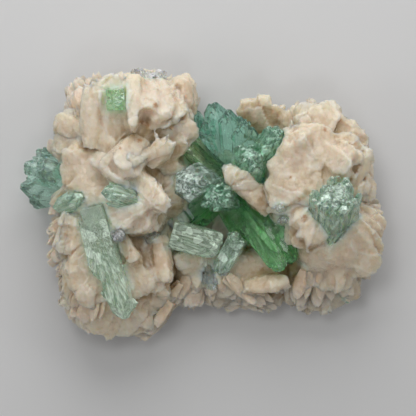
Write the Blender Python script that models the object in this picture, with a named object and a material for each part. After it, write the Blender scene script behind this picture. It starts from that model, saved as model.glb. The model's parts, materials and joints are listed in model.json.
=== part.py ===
"""Apophyllite cluster: green and colourless apophyllite crystals grown on a mass of stilbite blades.

The specimen lies on its flat broken-off back, display side up. +X is to the right and +Y is up
as the display side is looked at, and +Z points at the viewer. Tables are in millimetres.
"""
import math
import random

import bmesh
import bpy
from mathutils import Matrix, Vector

MM = 0.001
SEED = 29

# Driving sizes of the whole specimen.
CENTRING = Vector((-0.3, -0.14, 0.0))   # moves the middle of the outline onto the origin
CLEARANCE = 0.3                       # room between a crystal and the matrix round it
GROUND = 0.9                          # no blade comes lower than this above the cut back
GROUND_SPREAD = (3.65, 1.55)          # sends blades side by side to lowest heights up to 1 mm apart
CUT_BLOCK = 200.0                     # side of the block that cuts the back flat
MOST_TRIANGLES = 7600                 # a solid with more is thinned out to this many

# Apophyllite: rise of a pyramid face for each unit across it, from its axial ratio.
PYRAMID_RISE = 1.245
LEAST_END = 0.02                      # a sharp point still ends in a flat this share of its width
STEEP = 0.93                          # a form that rises more than this for its length faces +Y

# Half outlines of a stilbite blade: (share of the length, share of the width) from root to tip.
BLADE_OUTLINES = {
    "round": ((0.0, 0.36), (0.45, 0.5), (0.86, 0.4), (1.0, 0.0)),
    "point": ((0.0, 0.34), (0.5, 0.5), (1.0, 0.0)),
    "square": ((0.0, 0.42), (0.45, 0.5), (1.0, 0.34)),
    "small": ((0.0, 0.0), (0.66, 0.5), (1.0, 0.0)),
}
BLADE_RIDGE = (0.2, 0.8)              # where the full thickness lies along a blade
SMALL_RIDGE = (0.5,)

# Lumps under the blades: name, middle, half sizes.
CORE_LUMPS = (
    ("upper left", (-22.5, 26.0, 11.0), (15.5, 10.5, 18.5)),
    ("middle left", (-27.0, 6.0, 11.0), (14.0, 15.0, 19.0)),
    ("lower left", (-28.5, -18.5, 9.5), (12.0, 15.0, 15.5)),
    ("inner left", (-14.0, -14.5, 6.0), (8.5, 12.5, 14.5)),
    ("left crown", (-17.5, -1.0, 13.0), (8.5, 9.5, 14.0)),
    ("left waist", (-11.5, 7.5, 6.0), (10.0, 14.0, 16.5)),
    ("left foot", (-6.0, -9.0, 4.0), (8.0, 8.5, 10.0)),
    ("bridge left", (2.5, -19.5, 4.5), (12.0, 8.0, 12.5)),
    ("bridge right", (16.5, -20.0, 4.0), (13.0, 7.5, 11.5)),
    ("hollow", (8.0, 1.0, 1.5), (19.0, 17.0, 8.0)),
    ("hollow edge", (24.0, -9.0, 4.0), (11.5, 10.5, 8.0)),
    ("upper right", (37.5, 14.5, 9.0), (12.5, 12.5, 15.5)),
    ("inner right", (27.5, 5.0, 8.0), (8.0, 12.5, 18.5)),
    ("lower right", (40.5, -7.5, 9.0), (12.0, 14.0, 17.0)),
    ("right foot", (35.5, -22.0, 4.5), (11.5, 7.5, 9.0)),
)
LUMP_BOXINESS = 3.0                   # 2 is an ellipsoid, more is squarer
LUMP_FINENESS = 2                     # times that the faces of a lump are split
LUMP_SWELL = (0.93, 1.05)             # least and most size at a point of a lump

# Stilbite blades that make the display side: root, tip, width, thickness, turn, outline.
# A turn of 0 lays the blade's flat side as level as its length allows.
LEFT_BLADES = (
    ((-32.3, 16.0, 30.0), (-31.1, 36.8, 31.5), 6.4, 4.6, -8, "round"),
    ((-26.4, 14.0, 29.0), (-26.0, 38.0, 28.5), 9.0, 5.0, 4, "square"),
    ((-19.4, 37.5, 28.0), (-19.7, 22.0, 34.0), 4.4, 5.2, 0, "round"),
    ((-4.9, 26.5, 19.0), (-5.3, 39.2, 20.5), 7.0, 8.0, 0, "round"),
    ((-7.0, 33.5, 19.0), (-4.6, 23.0, 25.0), 6.4, 6.0, 15, "round"),
    ((-13.4, 35.6, 21.0), (-10.4, 24.4, 32.5), 8.6, 6.0, 5, "round"),
    ((-15.8, 35.6, 23.0), (-15.0, 26.5, 33.0), 5.6, 5.0, -10, "round"),
    ((-11.0, 19.5, 26.0), (-0.4, 23.2, 23.5), 6.4, 5.0, 10, "round"),
    ((-11.6, 14.5, 24.0), (-3.2, 18.4, 26.0), 5.0, 4.2, 15, "round"),
    ((-14.4, 11.5, 30.0), (-9.1, 19.4, 34.0), 5.2, 4.0, 0, "point"),
    ((-17.9, 20.0, 29.0), (-24.5, 9.8, 36.5), 7.2, 5.0, 0, "round"),
    ((-15.8, 17.0, 28.5), (-21.2, 11.6, 36.0), 6.0, 4.0, 25, "round"),
    ((-31.0, 13.6, 29.0), (-20.6, 8.2, 36.0), 6.6, 5.0, -15, "round"),
    ((-31.0, 13.2, 28.0), (-41.0, 13.4, 24.5), 8.0, 5.0, -10, "round"),
    ((-32.5, 8.6, 29.0), (-41.4, 7.8, 23.5), 6.0, 4.4, 5, "round"),
    ((-34.0, 21.0, 27.0), (-42.0, 25.6, 19.0), 8.2, 5.0, -20, "round"),
    ((-34.0, 17.5, 28.0), (-43.4, 18.8, 18.0), 7.4, 4.6, 0, "round"),
    ((-36.5, 8.0, 24.5), (-44.4, -1.6, 17.0), 6.0, 4.0, -20, "round"),
    ((-19.8, 8.0, 29.0), (-9.4, -0.6, 34.5), 7.2, 6.0, 10, "round"),
    ((-29.0, 0.8, 29.5), (-15.0, -2.2, 32.0), 5.6, 4.6, -5, "round"),
    ((-22.8, -6.6, 27.5), (-13.2, -5.2, 30.5), 5.6, 5.0, 0, "round"),
    ((-23.0, -8.6, 26.4), (-19.0, -17.6, 28.0), 4.6, 4.2, 15, "round"),
    ((-12.6, -8.4, 23.0), (-9.4, -23.6, 23.0), 5.6, 5.0, 10, "round"),
    ((-16.8, -23.2, 22.5), (-8.4, -25.8, 19.0), 5.2, 6.0, 0, "round"),
    ((-18.8, -25.0, 20.5), (-9.4, -29.8, 14.0), 6.2, 5.0, 10, "round"),
    ((-16.2, -11.0, 20.0), (-15.4, -20.8, 20.0), 4.8, 4.0, -20, "round"),
    ((-18.0, -28.4, 17.0), (-11.8, -32.6, 11.0), 5.2, 4.0, 0, "round"),
    ((-38.0, -1.6, 27.0), (-40.4, -17.6, 21.0), 5.8, 4.6, -20, "round"),
    ((-35.4, -2.4, 29.0), (-36.4, -26.0, 24.5), 6.4, 5.0, -8, "round"),
    ((-34.6, -16.6, 26.5), (-31.0, -30.4, 23.0), 10.0, 5.0, 4, "round"),
    ((-36.8, -19.0, 24.0), (-38.4, -32.0, 17.0), 6.4, 4.4, -22, "round"),
    ((-28.6, -26.4, 23.5), (-30.6, -38.4, 14.5), 9.2, 5.0, 0, "round"),
    ((-26.2, -31.0, 20.0), (-27.8, -41.1, 14.0), 3.4, 3.0, 0, "point"),
    ((-23.0, -29.0, 20.0), (-23.2, -39.2, 13.0), 5.2, 3.6, -8, "square"),
    ((-22.0, -29.5, 20.5), (-19.4, -40.2, 13.5), 5.6, 3.6, 5, "square"),
    ((-20.5, -29.5, 20.0), (-15.0, -38.8, 13.0), 5.6, 3.4, 12, "square"),
    ((-26.6, 0.5, 30.0), (-21.4, -7.6, 32.5), 6.4, 4.6, 0, "round"),
    ((-21.6, -16.8, 26.5), (-17.8, -28.0, 22.5), 6.2, 5.0, 8, "round"),
    ((-11.5, 10.0, 22.0), (-6.0, 13.5, 22.0), 6.0, 5.0, 15, "round"),
)
MIDDLE_BLADES = (
    ((23.0, -1.0, 22.5), (8.2, 10.2, 29.0), 7.0, 4.0, 8, "round"),
    ((17.4, 20.5, 13.0), (14.2, 31.8, 17.0), 4.6, 3.0, -6, "square"),
    ((17.8, 20.5, 13.5), (18.8, 33.0, 18.5), 5.4, 3.0, 4, "square"),
    ((18.8, 20.5, 13.0), (22.4, 30.8, 18.5), 5.2, 3.0, 8, "square"),
    ((19.4, 21.0, 12.5), (26.6, 28.8, 17.0), 4.6, 2.8, 12, "point"),
    ((3.0, -15.2, 15.0), (-7.8, -17.4, 20.0), 5.8, 5.0, 0, "round"),
    ((-1.0, -16.0, 17.0), (-0.2, -26.4, 17.0), 5.0, 4.0, 8, "point"),
    ((-3.0, -21.0, 13.0), (-2.9, -31.5, 8.5), 6.2, 5.0, 0, "round"),
    ((8.2, -23.0, 12.0), (6.2, -31.6, 7.0), 8.2, 4.0, 0, "point"),
    ((8.6, -18.6, 15.0), (7.4, -28.4, 12.5), 4.6, 5.0, 12, "round"),
    ((14.4, -25.0, 15.5), (27.2, -22.8, 18.5), 5.4, 4.6, -12, "round"),
    ((14.4, -22.0, 11.0), (14.8, -30.6, 7.0), 8.4, 4.0, 0, "round"),
    ((24.0, -24.0, 12.0), (19.8, -32.4, 8.0), 4.2, 3.0, 10, "point"),
    ((25.0, -24.0, 12.0), (23.4, -31.6, 8.0), 4.0, 3.0, 0, "point"),
    ((29.4, -22.4, 13.0), (28.4, -30.6, 8.0), 5.4, 4.0, 0, "round"),
    ((12.8, -15.0, 10.0), (24.4, -20.4, 13.5), 6.2, 5.0, 0, "round"),
)
RIGHT_BLADES = (
    ((35.4, 16.4, 21.0), (27.0, 28.6, 16.0), 8.6, 5.0, -10, "square"),
    ((35.6, 16.0, 23.0), (31.6, 31.0, 18.0), 8.6, 5.0, -5, "round"),
    ((35.8, 16.0, 24.0), (37.0, 31.0, 19.0), 9.0, 5.0, 0, "round"),
    ((36.4, 16.0, 24.0), (42.8, 27.4, 19.0), 9.0, 5.0, 6, "round"),
    ((37.0, 15.4, 23.5), (48.6, 23.2, 18.0), 9.4, 5.0, 10, "square"),
    ((38.0, 15.0, 23.0), (51.4, 16.6, 16.5), 9.4, 5.0, 10, "round"),
    ((39.0, 13.0, 23.0), (52.6, 9.2, 15.5), 8.4, 5.0, 10, "round"),
    ((37.6, 20.4, 26.0), (28.6, 19.0, 28.5), 6.4, 4.6, -8, "round"),
    ((37.0, 18.2, 27.5), (24.4, 14.2, 28.0), 6.6, 4.6, 0, "round"),
    ((36.6, 16.0, 28.0), (20.8, 10.6, 25.0), 6.4, 5.0, 6, "round"),
    ((32.4, 9.4, 28.5), (20.2, 4.4, 25.0), 7.2, 5.0, 6, "round"),
    ((32.4, 5.8, 29.5), (21.6, -0.4, 25.5), 6.0, 5.0, 10, "round"),
    ((26.0, 5.4, 27.0), (20.6, -2.5, 23.5), 2.6, 2.8, 0, "round"),
    ((28.6, 4.4, 28.0), (23.2, -2.3, 24.5), 2.6, 2.8, 0, "round"),
    ((44.6, 7.8, 26.5), (53.2, 4.0, 18.0), 7.6, 4.2, 5, "round"),
    ((37.2, 16.6, 27.0), (45.6, 10.0, 32.0), 8.0, 6.0, 10, "round"),
    ((43.4, 16.6, 25.0), (50.6, 13.0, 19.5), 8.0, 5.0, 10, "round"),
    ((38.8, -4.8, 28.0), (32.0, -12.8, 29.0), 7.2, 5.0, -6, "point"),
    ((43.2, -5.8, 27.5), (53.0, -20.4, 18.0), 10.4, 5.0, 12, "round"),
    ((44.4, -2.8, 27.5), (54.6, -11.0, 16.5), 9.0, 5.0, 12, "round"),
    ((29.0, 0.6, 25.0), (29.0, -12.8, 24.5), 4.2, 5.0, -10, "round"),
    ((32.4, 1.8, 26.0), (30.6, -7.4, 28.5), 5.2, 4.6, 5, "round"),
    ((39.4, -7.0, 19.5), (37.6, -18.8, 18.0), 6.2, 4.0, -6, "round"),
    ((42.8, -13.0, 21.5), (41.2, -26.4, 15.5), 6.4, 5.0, 4, "round"),
    ((41.2, -20.6, 14.5), (29.6, -23.8, 14.5), 6.2, 5.0, 0, "round"),
    ((38.6, -23.6, 12.0), (35.4, -32.2, 7.5), 7.4, 4.0, -5, "round"),
    ((39.4, -23.6, 12.0), (40.0, -32.0, 7.5), 7.4, 4.0, 5, "round"),
    ((32.0, -25.0, 10.0), (33.8, -33.3, 6.0), 5.2, 3.2, 0, "point"),
    ((44.4, -19.6, 15.5), (47.8, -28.4, 9.5), 6.4, 4.0, 8, "round"),
)

# Tips of the blades round the edge, clockwise from the left of the upper left fan: x, y, width.
LEFT_RIM = (
    (-45.4, 18.4, 4.0), (-42.8, 23.6, 4.5), (-41.6, 27.0, 4.0), (-39.8, 30.8, 4.5),
    (-39.2, 36.0, 4.5), (-36.6, 37.6, 4.5), (-31.7, 39.0, 5.0), (-27.6, 37.8, 4.5),
    (-24.2, 39.3, 5.0), (-20.6, 39.3, 4.5), (-17.4, 39.9, 4.0), (-12.0, 39.4, 4.5),
    (-8.6, 38.6, 3.5), (-2.9, 37.4, 4.5), (-1.4, 33.9, 4.5), (-2.0, 29.6, 4.5),
    (-2.4, 26.0, 4.5), (-44.6, -1.8, 4.5), (-43.6, -5.2, 4.5), (-45.5, -8.1, 4.0),
    (-45.5, -11.0, 4.0), (-44.0, -13.8, 4.5), (-44.6, -17.6, 4.5), (-42.4, -21.4, 4.5),
    (-42.0, -25.6, 4.0), (-39.6, -28.6, 4.0), (-38.9, -34.4, 4.5), (-35.9, -36.4, 4.5),
    (-33.6, -38.3, 4.5),
)
LOWER_RIM = (
    (-28.9, -38.6, 4.0), (-24.0, -38.8, 4.0), (-17.6, -40.2, 4.5), (-14.8, -38.6, 4.0),
    (-12.4, -34.4, 3.0), (-9.4, -31.6, 4.5), (-6.0, -29.8, 3.5), (-2.6, -31.4, 4.5),
    (1.0, -28.8, 4.0), (4.0, -30.2, 4.0), (11.4, -30.6, 4.0), (16.8, -31.2, 4.5),
    (19.8, -32.0, 3.5), (23.4, -31.2, 3.5), (28.6, -30.6, 4.5), (31.4, -31.6, 4.0),
    (37.2, -32.2, 4.5), (41.4, -31.4, 4.5), (46.4, -28.8, 4.5), (48.4, -25.6, 4.0),
)
RIGHT_RIM = (
    (51.8, -22.2, 4.5), (53.6, -17.4, 4.5), (54.5, -13.6, 4.5), (54.8, -9.0, 4.0),
    (55.1, -3.0, 3.6), (54.2, 0.6, 4.0), (53.3, 4.4, 4.5), (52.4, 10.0, 4.5),
    (51.4, 15.0, 4.5), (49.8, 19.4, 4.5), (49.6, 22.2, 4.0), (46.2, 24.4, 4.5),
    (42.4, 27.4, 4.5), (38.2, 30.1, 4.5), (34.4, 31.5, 4.5), (30.8, 30.6, 4.5),
    (27.0, 28.4, 4.0), (26.9, 25.4, 3.5),
)
# Each stretch of the edge with its share of the full height.
RIM_STRETCHES = ((LEFT_RIM, 1.0), (LOWER_RIM, 0.66), (RIGHT_RIM, 0.94))
RIM_SIDES = ((-24.0, 2.0), (2.0, -14.0), (37.0, 0.0))   # middles that the edge blades point out of
RIM_REACH = (30.0, 34.0)              # half sizes of the ring of blade roots round a middle
RIM_HEIGHT = (11.5, 17.0)             # height of an outermost tip above the back
RIM_LENGTH = 12.5
RIM_THICK = 3.2
RIM_ROOT_RISE = (-1.0, 4.0)           # height of a root above its tip
RIM_TURN = 45.0                       # most turn of an edge blade either way
# Rows of blades above and below the outermost row: inset, height of the tip, length.
FLANK_ROWS = (
    (2.2, 3.6, 10.0),
    (1.2, 7.4, 11.0),
    (3.4, 20.0, 11.0),
)
FLANK_INSET = 1.2                     # most that chance adds to an inset
FLANK_SLIDE = 1.6                     # most that a tip moves along the edge
FLANK_RISE = 1.0                      # most that a tip moves up or down
FLANK_WIDTH = (0.9, 1.25)             # least and most width beside the outermost blade
ROOT_SINK = 2.2                       # the roots of the display blades go this much deeper

# Apophyllite crystals: root, tip, width, depth, turn, cut.
# A cut of 0 keeps the whole point, 1 cuts it to a diamond, and 2 leaves a square flat end.
CENTRAL_SPRAY = (
    ((10.0, 5.0, 9.0), (4.7, 31.8, 19.0), 6.6, 4.2, 0, 0.0),
    ((10.6, 5.0, 10.0), (8.9, 29.0, 22.0), 5.2, 4.0, 10, 0.1),
    ((11.6, 5.0, 10.0), (12.4, 27.0, 21.0), 5.4, 4.2, 0, 0.1),
    ((12.6, 6.0, 8.5), (16.2, 23.4, 20.0), 5.0, 4.2, 10, 0.2),
    ((7.0, 7.0, 8.5), (-1.6, 29.4, 13.5), 3.2, 3.0, 20, 0.0),
    ((8.0, 7.0, 9.0), (1.4, 25.4, 18.0), 4.4, 3.6, 10, 0.1),
    ((8.4, 6.0, 9.5), (-0.4, 21.8, 20.5), 5.2, 4.2, 0, 0.2),
    ((9.0, 7.0, 11.0), (-4.6, 18.8, 22.0), 5.2, 4.4, 40, 0.5),
    ((4.0, 8.0, 11.0), (-4.9, 5.4, 33.0), 9.2, 8.4, 20, 0.62),
    ((10.6, 1.6, 10.0), (4.6, 2.2, 30.5), 7.8, 6.8, 12, 0.55),
    ((14.4, 7.0, 9.0), (15.6, 15.2, 30.0), 7.8, 6.6, 5, 0.6),
    ((16.0, 9.0, 9.0), (23.9, 21.9, 26.5), 6.6, 6.2, 40, 0.55),
    ((7.6, 3.6, 11.0), (26.0, -20.1, 22.0), 5.4, 4.8, 15, 0.1),
    ((10.6, 5.0, 10.0), (29.4, -17.2, 19.5), 6.4, 5.0, 0, 0.2),
    ((13.6, 5.0, 9.0), (31.6, -13.4, 16.0), 6.0, 5.0, 0, 0.3),
    ((6.4, 3.0, 9.0), (15.0, -12.0, 15.0), 5.6, 5.0, 10, 0.3),
    ((8.0, 3.4, 8.5), (-3.0, -6.4, 13.0), 7.0, 5.4, 0, 0.3),
    ((6.0, 3.4, 8.5), (-9.4, -5.8, 15.5), 6.4, 5.4, 15, 0.45),
)
LEFT_SPRAY = (
    ((-41.0, 7.0, 12.0), (-47.4, 11.6, 23.5), 6.4, 5.8, 20, 0.6),
    ((-41.0, 3.6, 10.0), (-55.1, 5.7, 14.0), 6.6, 5.4, 10, 0.0),
    ((-42.0, 8.0, 9.0), (-53.0, 12.4, 11.5), 5.4, 4.6, 0, 0.25),
    ((-42.0, 9.0, 9.0), (-49.2, 16.6, 12.5), 5.2, 4.6, 25, 0.25),
    ((-41.0, 2.0, 8.0), (-51.8, 1.0, 9.5), 4.6, 4.2, 0, 0.2),
)
LONG_PRISM = (
    ((-31.8, -0.6, 30.0), (-21.8, -34.2, 27.0), 6.8, 6.0, 10, 0.35),
    ((-33.6, -4.5, 28.6), (-29.4, -22.6, 27.6), 3.8, 3.6, 20, 0.2),
    ((-25.6, -27.2, 25.0), (-29.4, -26.4, 26.6), 2.8, 2.6, 0, 0.1),
    ((-24.4, -28.6, 24.4), (-18.6, -30.2, 25.2), 3.4, 3.2, 30, 0.3),
)
CRYSTAL_GROUPS = {
    "central_spray": CENTRAL_SPRAY,
    "left_spray": LEFT_SPRAY,
    "long_prism": LONG_PRISM,
    "square_crystal": (((-24.2, 32.6, 24.0), (-24.6, 31.2, 33.5), 5.4, 6.2, 4, 2.0),),
    "left_tip": (((-41.6, -1.0, 22.5), (-35.0, 2.8, 29.6), 4.8, 4.2, 30, 0.35),),
    "middle_tip": (((-17.6, 1.4, 29.0), (-28.0, 4.2, 35.8), 5.4, 5.0, 35, 0.4),),
    "block_crystal": (((-7.4, -8.8, 21.0), (6.2, -12.8, 23.6), 7.8, 7.4, 8, 0.7),),
    "green_prism": (
        ((12.2, -10.0, 19.0), (6.0, -20.8, 16.5), 5.4, 5.0, 10, 0.4),
        ((11.4, -11.0, 19.0), (10.2, -9.4, 25.2), 3.0, 2.8, 0, 0.5),
    ),
    "diamond_crystal": (((40.2, -7.4, 19.0), (41.0, 3.4, 37.0), 11.2, 10.4, 45, 0.72),),
    "grey_prism": (((-15.4, -27.6, 14.0), (-12.2, -35.6, 11.0), 3.2, 3.0, 15, 0.3),),
    "bridge_crystal": (((2.0, -19.4, 15.0), (4.6, -25.8, 17.0), 4.2, 3.8, 20, 0.4),),
    "top_crystals": (
        ((-17.6, 34.6, 19.0), (-17.8, 40.8, 23.0), 3.8, 3.6, 10, 0.6),
        ((-15.2, 34.4, 19.5), (-15.0, 39.4, 24.0), 3.6, 3.4, 35, 0.6),
        ((-13.0, 34.2, 19.0), (-11.6, 40.2, 23.0), 4.2, 3.8, 20, 0.6),
    ),
    "bright_crystal": (((-24.4, -8.0, 28.5), (-23.4, -10.2, 35.0), 3.8, 3.4, 30, 0.6),),
    "hollow_crystal": (((-14.6, -7.6, 17.0), (-13.4, -10.6, 24.0), 3.8, 3.4, 20, 0.55),),
    "upper_bit": (((25.2, -0.2, 24.5), (24.2, -1.4, 30.6), 2.8, 2.6, 20, 0.5),),
    "lower_bit": (((26.2, -3.4, 22.0), (25.4, -5.2, 28.4), 2.6, 2.4, 40, 0.5),),
    "foot_crystal": (((33.6, -14.8, 12.0), (32.8, -18.2, 18.0), 3.2, 3.0, 15, 0.5),),
    "edge_chip": (((42.8, -26.2, 8.5), (46.2, -29.4, 8.0), 3.0, 2.8, 20, 0.4),),
}
# Colour of each group of crystals, linear light.
PALE_GREEN = (0.36, 0.62, 0.45)
DEEP_GREEN = (0.10, 0.42, 0.20)
COLOURLESS = (0.62, 0.70, 0.64)
GROUP_COLOURS = {
    "central_spray": DEEP_GREEN, "left_spray": PALE_GREEN, "long_prism": PALE_GREEN,
    "square_crystal": DEEP_GREEN, "left_tip": PALE_GREEN, "middle_tip": PALE_GREEN,
    "block_crystal": PALE_GREEN, "green_prism": PALE_GREEN, "diamond_crystal": DEEP_GREEN,
    "edge_chip": PALE_GREEN,
}
STILBITE_COLOUR = (0.62, 0.50, 0.39)
STILBITE_ROUGHNESS = 0.45
APOPHYLLITE_ROUGHNESS = 0.12


def clear_scene():
    """Remove every object that the file started with."""
    for obj in list(bpy.data.objects):
        bpy.data.objects.remove(obj, do_unlink=True)


def make_material(name, colour, roughness):
    """A Principled BSDF with a colour and a roughness; nothing here is metal."""
    material = bpy.data.materials.new(name)
    material.use_nodes = True
    shader = material.node_tree.nodes["Principled BSDF"]
    shader.inputs["Base Color"].default_value = (*colour, 1.0)
    shader.inputs["Roughness"].default_value = roughness
    shader.inputs["Metallic"].default_value = 0.0
    material.diffuse_color = (*colour, 1.0)
    return material


def own_axes(root, tip, turn_degrees):
    """Side, face and length directions of a form that runs from root to tip.

    The face looks as far up as the length allows, then turns round the length.
    """
    length = (tip - root).normalized()
    up = Vector((0.0, 0.0, 1.0))
    if abs(length.z) > STEEP:
        up = Vector((0.0, 1.0, 0.0))
    side = length.cross(up).normalized()
    face = side.cross(length)
    spin = Matrix.Rotation(math.radians(turn_degrees), 3, length)
    return spin @ side, spin @ face, length


def hull_object(name, points):
    """Closed convex solid round a list of points in millimetres."""
    mesh = bpy.data.meshes.new(name)
    form = bmesh.new()
    for point in points:
        form.verts.new((point + CENTRING) * MM)
    bmesh.ops.convex_hull(form, input=form.verts)
    loose = [vertex for vertex in form.verts if not vertex.link_faces]
    bmesh.ops.delete(form, geom=loose, context="VERTS")
    bmesh.ops.recalc_face_normals(form, faces=form.faces)
    form.to_mesh(mesh)
    form.free()
    return bpy.data.objects.new(name, mesh)


def blade_points(root, tip, width, thick, turn, outline):
    """Corners of one flat blade with thin edges and a thicker middle."""
    root = Vector(root)
    tip = Vector(tip)
    side, face, length = own_axes(root, tip, turn)
    reach = (tip - root).length
    points = []
    for along, across in BLADE_OUTLINES[outline]:
        middle = root + length * (reach * along)
        for hand in (-1.0, 1.0):
            points.append(middle + side * (hand * across * width))
    ridge = SMALL_RIDGE if outline == "small" else BLADE_RIDGE
    for along in ridge:
        for hand in (-1.0, 1.0):
            points.append(root + length * (reach * along) + face * (hand * thick / 2))
    floor = GROUND + (root.x * GROUND_SPREAD[0] + tip.y * GROUND_SPREAD[1]) % 1.0
    return [Vector((p.x, p.y, max(p.z, floor))) for p in points]


def blade_object(name, blade):
    """One stilbite blade as an object."""
    return hull_object(name, blade_points(*blade))


def crystal_points(root, tip, width, depth, turn, cut, grow=0.0):
    """Corners of one apophyllite crystal: square prism, pyramid on its edges, flat end.

    Each pyramid face stands over an edge of the prism, so the prism faces end in points.
    """
    root = Vector(root)
    tip = Vector(tip)
    side, face, length = own_axes(root, tip, turn)
    half = width / 2 + grow
    squash = (depth / 2 + grow) / half
    full_point = 2 * PYRAMID_RISE * width / 2
    kept_point = full_point * (1 - cut / 2)
    grow_rise = grow * math.sqrt(2 * PYRAMID_RISE ** 2 + 1)
    apex = (tip - root).length + full_point - kept_point + grow_rise
    flat_end = (tip - root).length + grow
    end_half = min(half, max((apex - flat_end) / PYRAMID_RISE, LEAST_END * half))
    corner = min(apex - 2 * PYRAMID_RISE * half, flat_end)
    middle = min(apex - PYRAMID_RISE * half, flat_end)
    points = []
    for u in (-half, half):
        for v in (-half, half):
            points.append((u, v, -grow))
            points.append((u, v, corner))
    for u, v in ((1, 0), (0, 1), (-1, 0), (0, -1)):
        points.append((u * half, v * half, middle))
        points.append((u * end_half, v * end_half, flat_end))
    return [root + side * u + face * (v * squash) + length * w for u, v, w in points]


def crystal_object(name, crystal, grow=0.0):
    """One apophyllite crystal as an object, or the room that it needs when it is grown."""
    return hull_object(name, crystal_points(*crystal, grow=grow))


def lump_object(name, middle, half_sizes, rng):
    """One uneven rounded lump of the matrix."""
    mesh = bpy.data.meshes.new(name)
    form = bmesh.new()
    bmesh.ops.create_icosphere(form, subdivisions=LUMP_FINENESS, radius=1.0)
    for vertex in form.verts:
        power = sum(abs(part) ** LUMP_BOXINESS for part in vertex.co)
        swell = rng.uniform(*LUMP_SWELL) / power ** (1.0 / LUMP_BOXINESS)
        place = Vector(middle) + CENTRING
        for axis in range(3):
            place[axis] += vertex.co[axis] * half_sizes[axis] * swell
        vertex.co = place * MM
    form.to_mesh(mesh)
    form.free()
    return bpy.data.objects.new(name, mesh)


def boolean_result(body, operands, operation):
    """Mesh of a body after a Boolean with a list of objects, which are then removed."""
    group = bpy.data.collections.new("operands")
    bpy.context.scene.collection.children.link(group)
    for operand in operands:
        group.objects.link(operand)
    bpy.context.scene.collection.objects.link(body)
    modifier = body.modifiers.new("join", "BOOLEAN")
    modifier.operation = operation
    modifier.operand_type = "COLLECTION"
    modifier.collection = group
    modifier.solver = "EXACT"
    modifier.use_self = False
    bpy.context.view_layer.update()
    ready = body.evaluated_get(bpy.context.evaluated_depsgraph_get())
    mesh = bpy.data.meshes.new_from_object(ready)
    for operand in operands:
        bpy.data.objects.remove(operand, do_unlink=True)
    bpy.data.objects.remove(body, do_unlink=True)
    bpy.data.collections.remove(group)
    return mesh


def islands(form):
    """Sets of faces that hang together by edges that join two faces."""
    left = set(form.faces)
    found = []
    while left:
        seed = left.pop()
        island = {seed}
        edge_of_search = [seed]
        while edge_of_search:
            face = edge_of_search.pop()
            for edge in face.edges:
                if len(edge.link_faces) != 2:
                    continue
                for neighbour in edge.link_faces:
                    if neighbour in left:
                        left.discard(neighbour)
                        island.add(neighbour)
                        edge_of_search.append(neighbour)
        found.append(island)
    return found


def thin_out(mesh, most):
    """Collapse the least needed edges of a mesh until it has no more than most triangles."""
    body = bpy.data.objects.new("thinning", mesh)
    bpy.context.scene.collection.objects.link(body)
    modifier = body.modifiers.new("thin", "DECIMATE")
    modifier.decimate_type = "COLLAPSE"
    modifier.ratio = min(1.0, most / len(mesh.polygons))
    bpy.context.view_layer.update()
    ready = body.evaluated_get(bpy.context.evaluated_depsgraph_get())
    thinned = bpy.data.meshes.new_from_object(ready)
    bpy.data.objects.remove(body, do_unlink=True)
    for vertex in thinned.vertices:
        vertex.co.z = max(vertex.co.z, 0.0)
    return thinned


def tidy_solid(mesh):
    """Keep the one outer skin of a solid, so no pocket is sealed inside."""
    form = bmesh.new()
    form.from_mesh(mesh)
    bmesh.ops.triangulate(form, faces=form.faces)
    skins = sorted(islands(form), key=lambda island: sum(face.calc_area() for face in island))
    for skin in skins[:-1]:
        bmesh.ops.delete(form, geom=list(skin), context="FACES")
    form.to_mesh(mesh)
    form.free()
    mesh.update()
    return mesh


def rim_root(tip_x, tip_y, length):
    """Root of an edge blade: length inwards from its tip, towards the nearest middle."""
    reach = []
    for middle_x, middle_y in RIM_SIDES:
        away = ((tip_x - middle_x) / RIM_REACH[0], (tip_y - middle_y) / RIM_REACH[1])
        reach.append((math.hypot(*away), middle_x, middle_y))
    _, middle_x, middle_y = min(reach)
    inwards = Vector((middle_x - tip_x, middle_y - tip_y)).normalized()
    return tip_x + inwards.x * length, tip_y + inwards.y * length


def rim_blade(tip_x, tip_y, height, length, width, rng):
    """One edge blade that points out of the nearest middle, with a chance tilt."""
    root_x, root_y = rim_root(tip_x, tip_y, length)
    root = (root_x, root_y, height + rng.uniform(*RIM_ROOT_RISE))
    turn = rng.uniform(-RIM_TURN, RIM_TURN)
    return root, (tip_x, tip_y, height), width, RIM_THICK, turn, "small"


def rim_blades(rng):
    """Blades round the whole edge: the outermost row and the rows above and below it."""
    blades = []
    for stretch, share in RIM_STRETCHES:
        for tip_x, tip_y, width in stretch:
            height = rng.uniform(*RIM_HEIGHT) * share
            blades.append(rim_blade(tip_x, tip_y, height, RIM_LENGTH, width, rng))
            for inset, row_height, length in FLANK_ROWS:
                place_x, place_y = rim_root(tip_x, tip_y, inset + rng.uniform(0.0, FLANK_INSET))
                slide = rng.uniform(-FLANK_SLIDE, FLANK_SLIDE) / math.hypot(place_x, place_y)
                place = (place_x - place_y * slide, place_y + place_x * slide)
                height = row_height * share + rng.uniform(-FLANK_RISE, FLANK_RISE)
                wide = width * rng.uniform(*FLANK_WIDTH)
                blades.append(rim_blade(*place, height, length, wide, rng))
    return blades


def build_matrix(rng):
    """The stilbite: lumps and blades in one solid, cut flat at the back, with its sockets."""
    first, *others = [lump_object(name, *form, rng) for name, *form in CORE_LUMPS]
    blades = rim_blades(rng)
    for root, *rest in (*LEFT_BLADES, *MIDDLE_BLADES, *RIGHT_BLADES):
        blades.append((Vector(root) - Vector((0.0, 0.0, ROOT_SINK)), *rest))
    for number, blade in enumerate(blades):
        others.append(blade_object(f"blade_{number}", blade))
    joined = boolean_result(first, others, "UNION")
    body = bpy.data.objects.new("stilbite_matrix", joined)
    cutters = [cut_block()]
    for name, group in CRYSTAL_GROUPS.items():
        for number, crystal in enumerate(group):
            cutters.append(crystal_object(f"{name}_room_{number}", crystal, CLEARANCE))
    return boolean_result(body, cutters, "DIFFERENCE")


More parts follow.
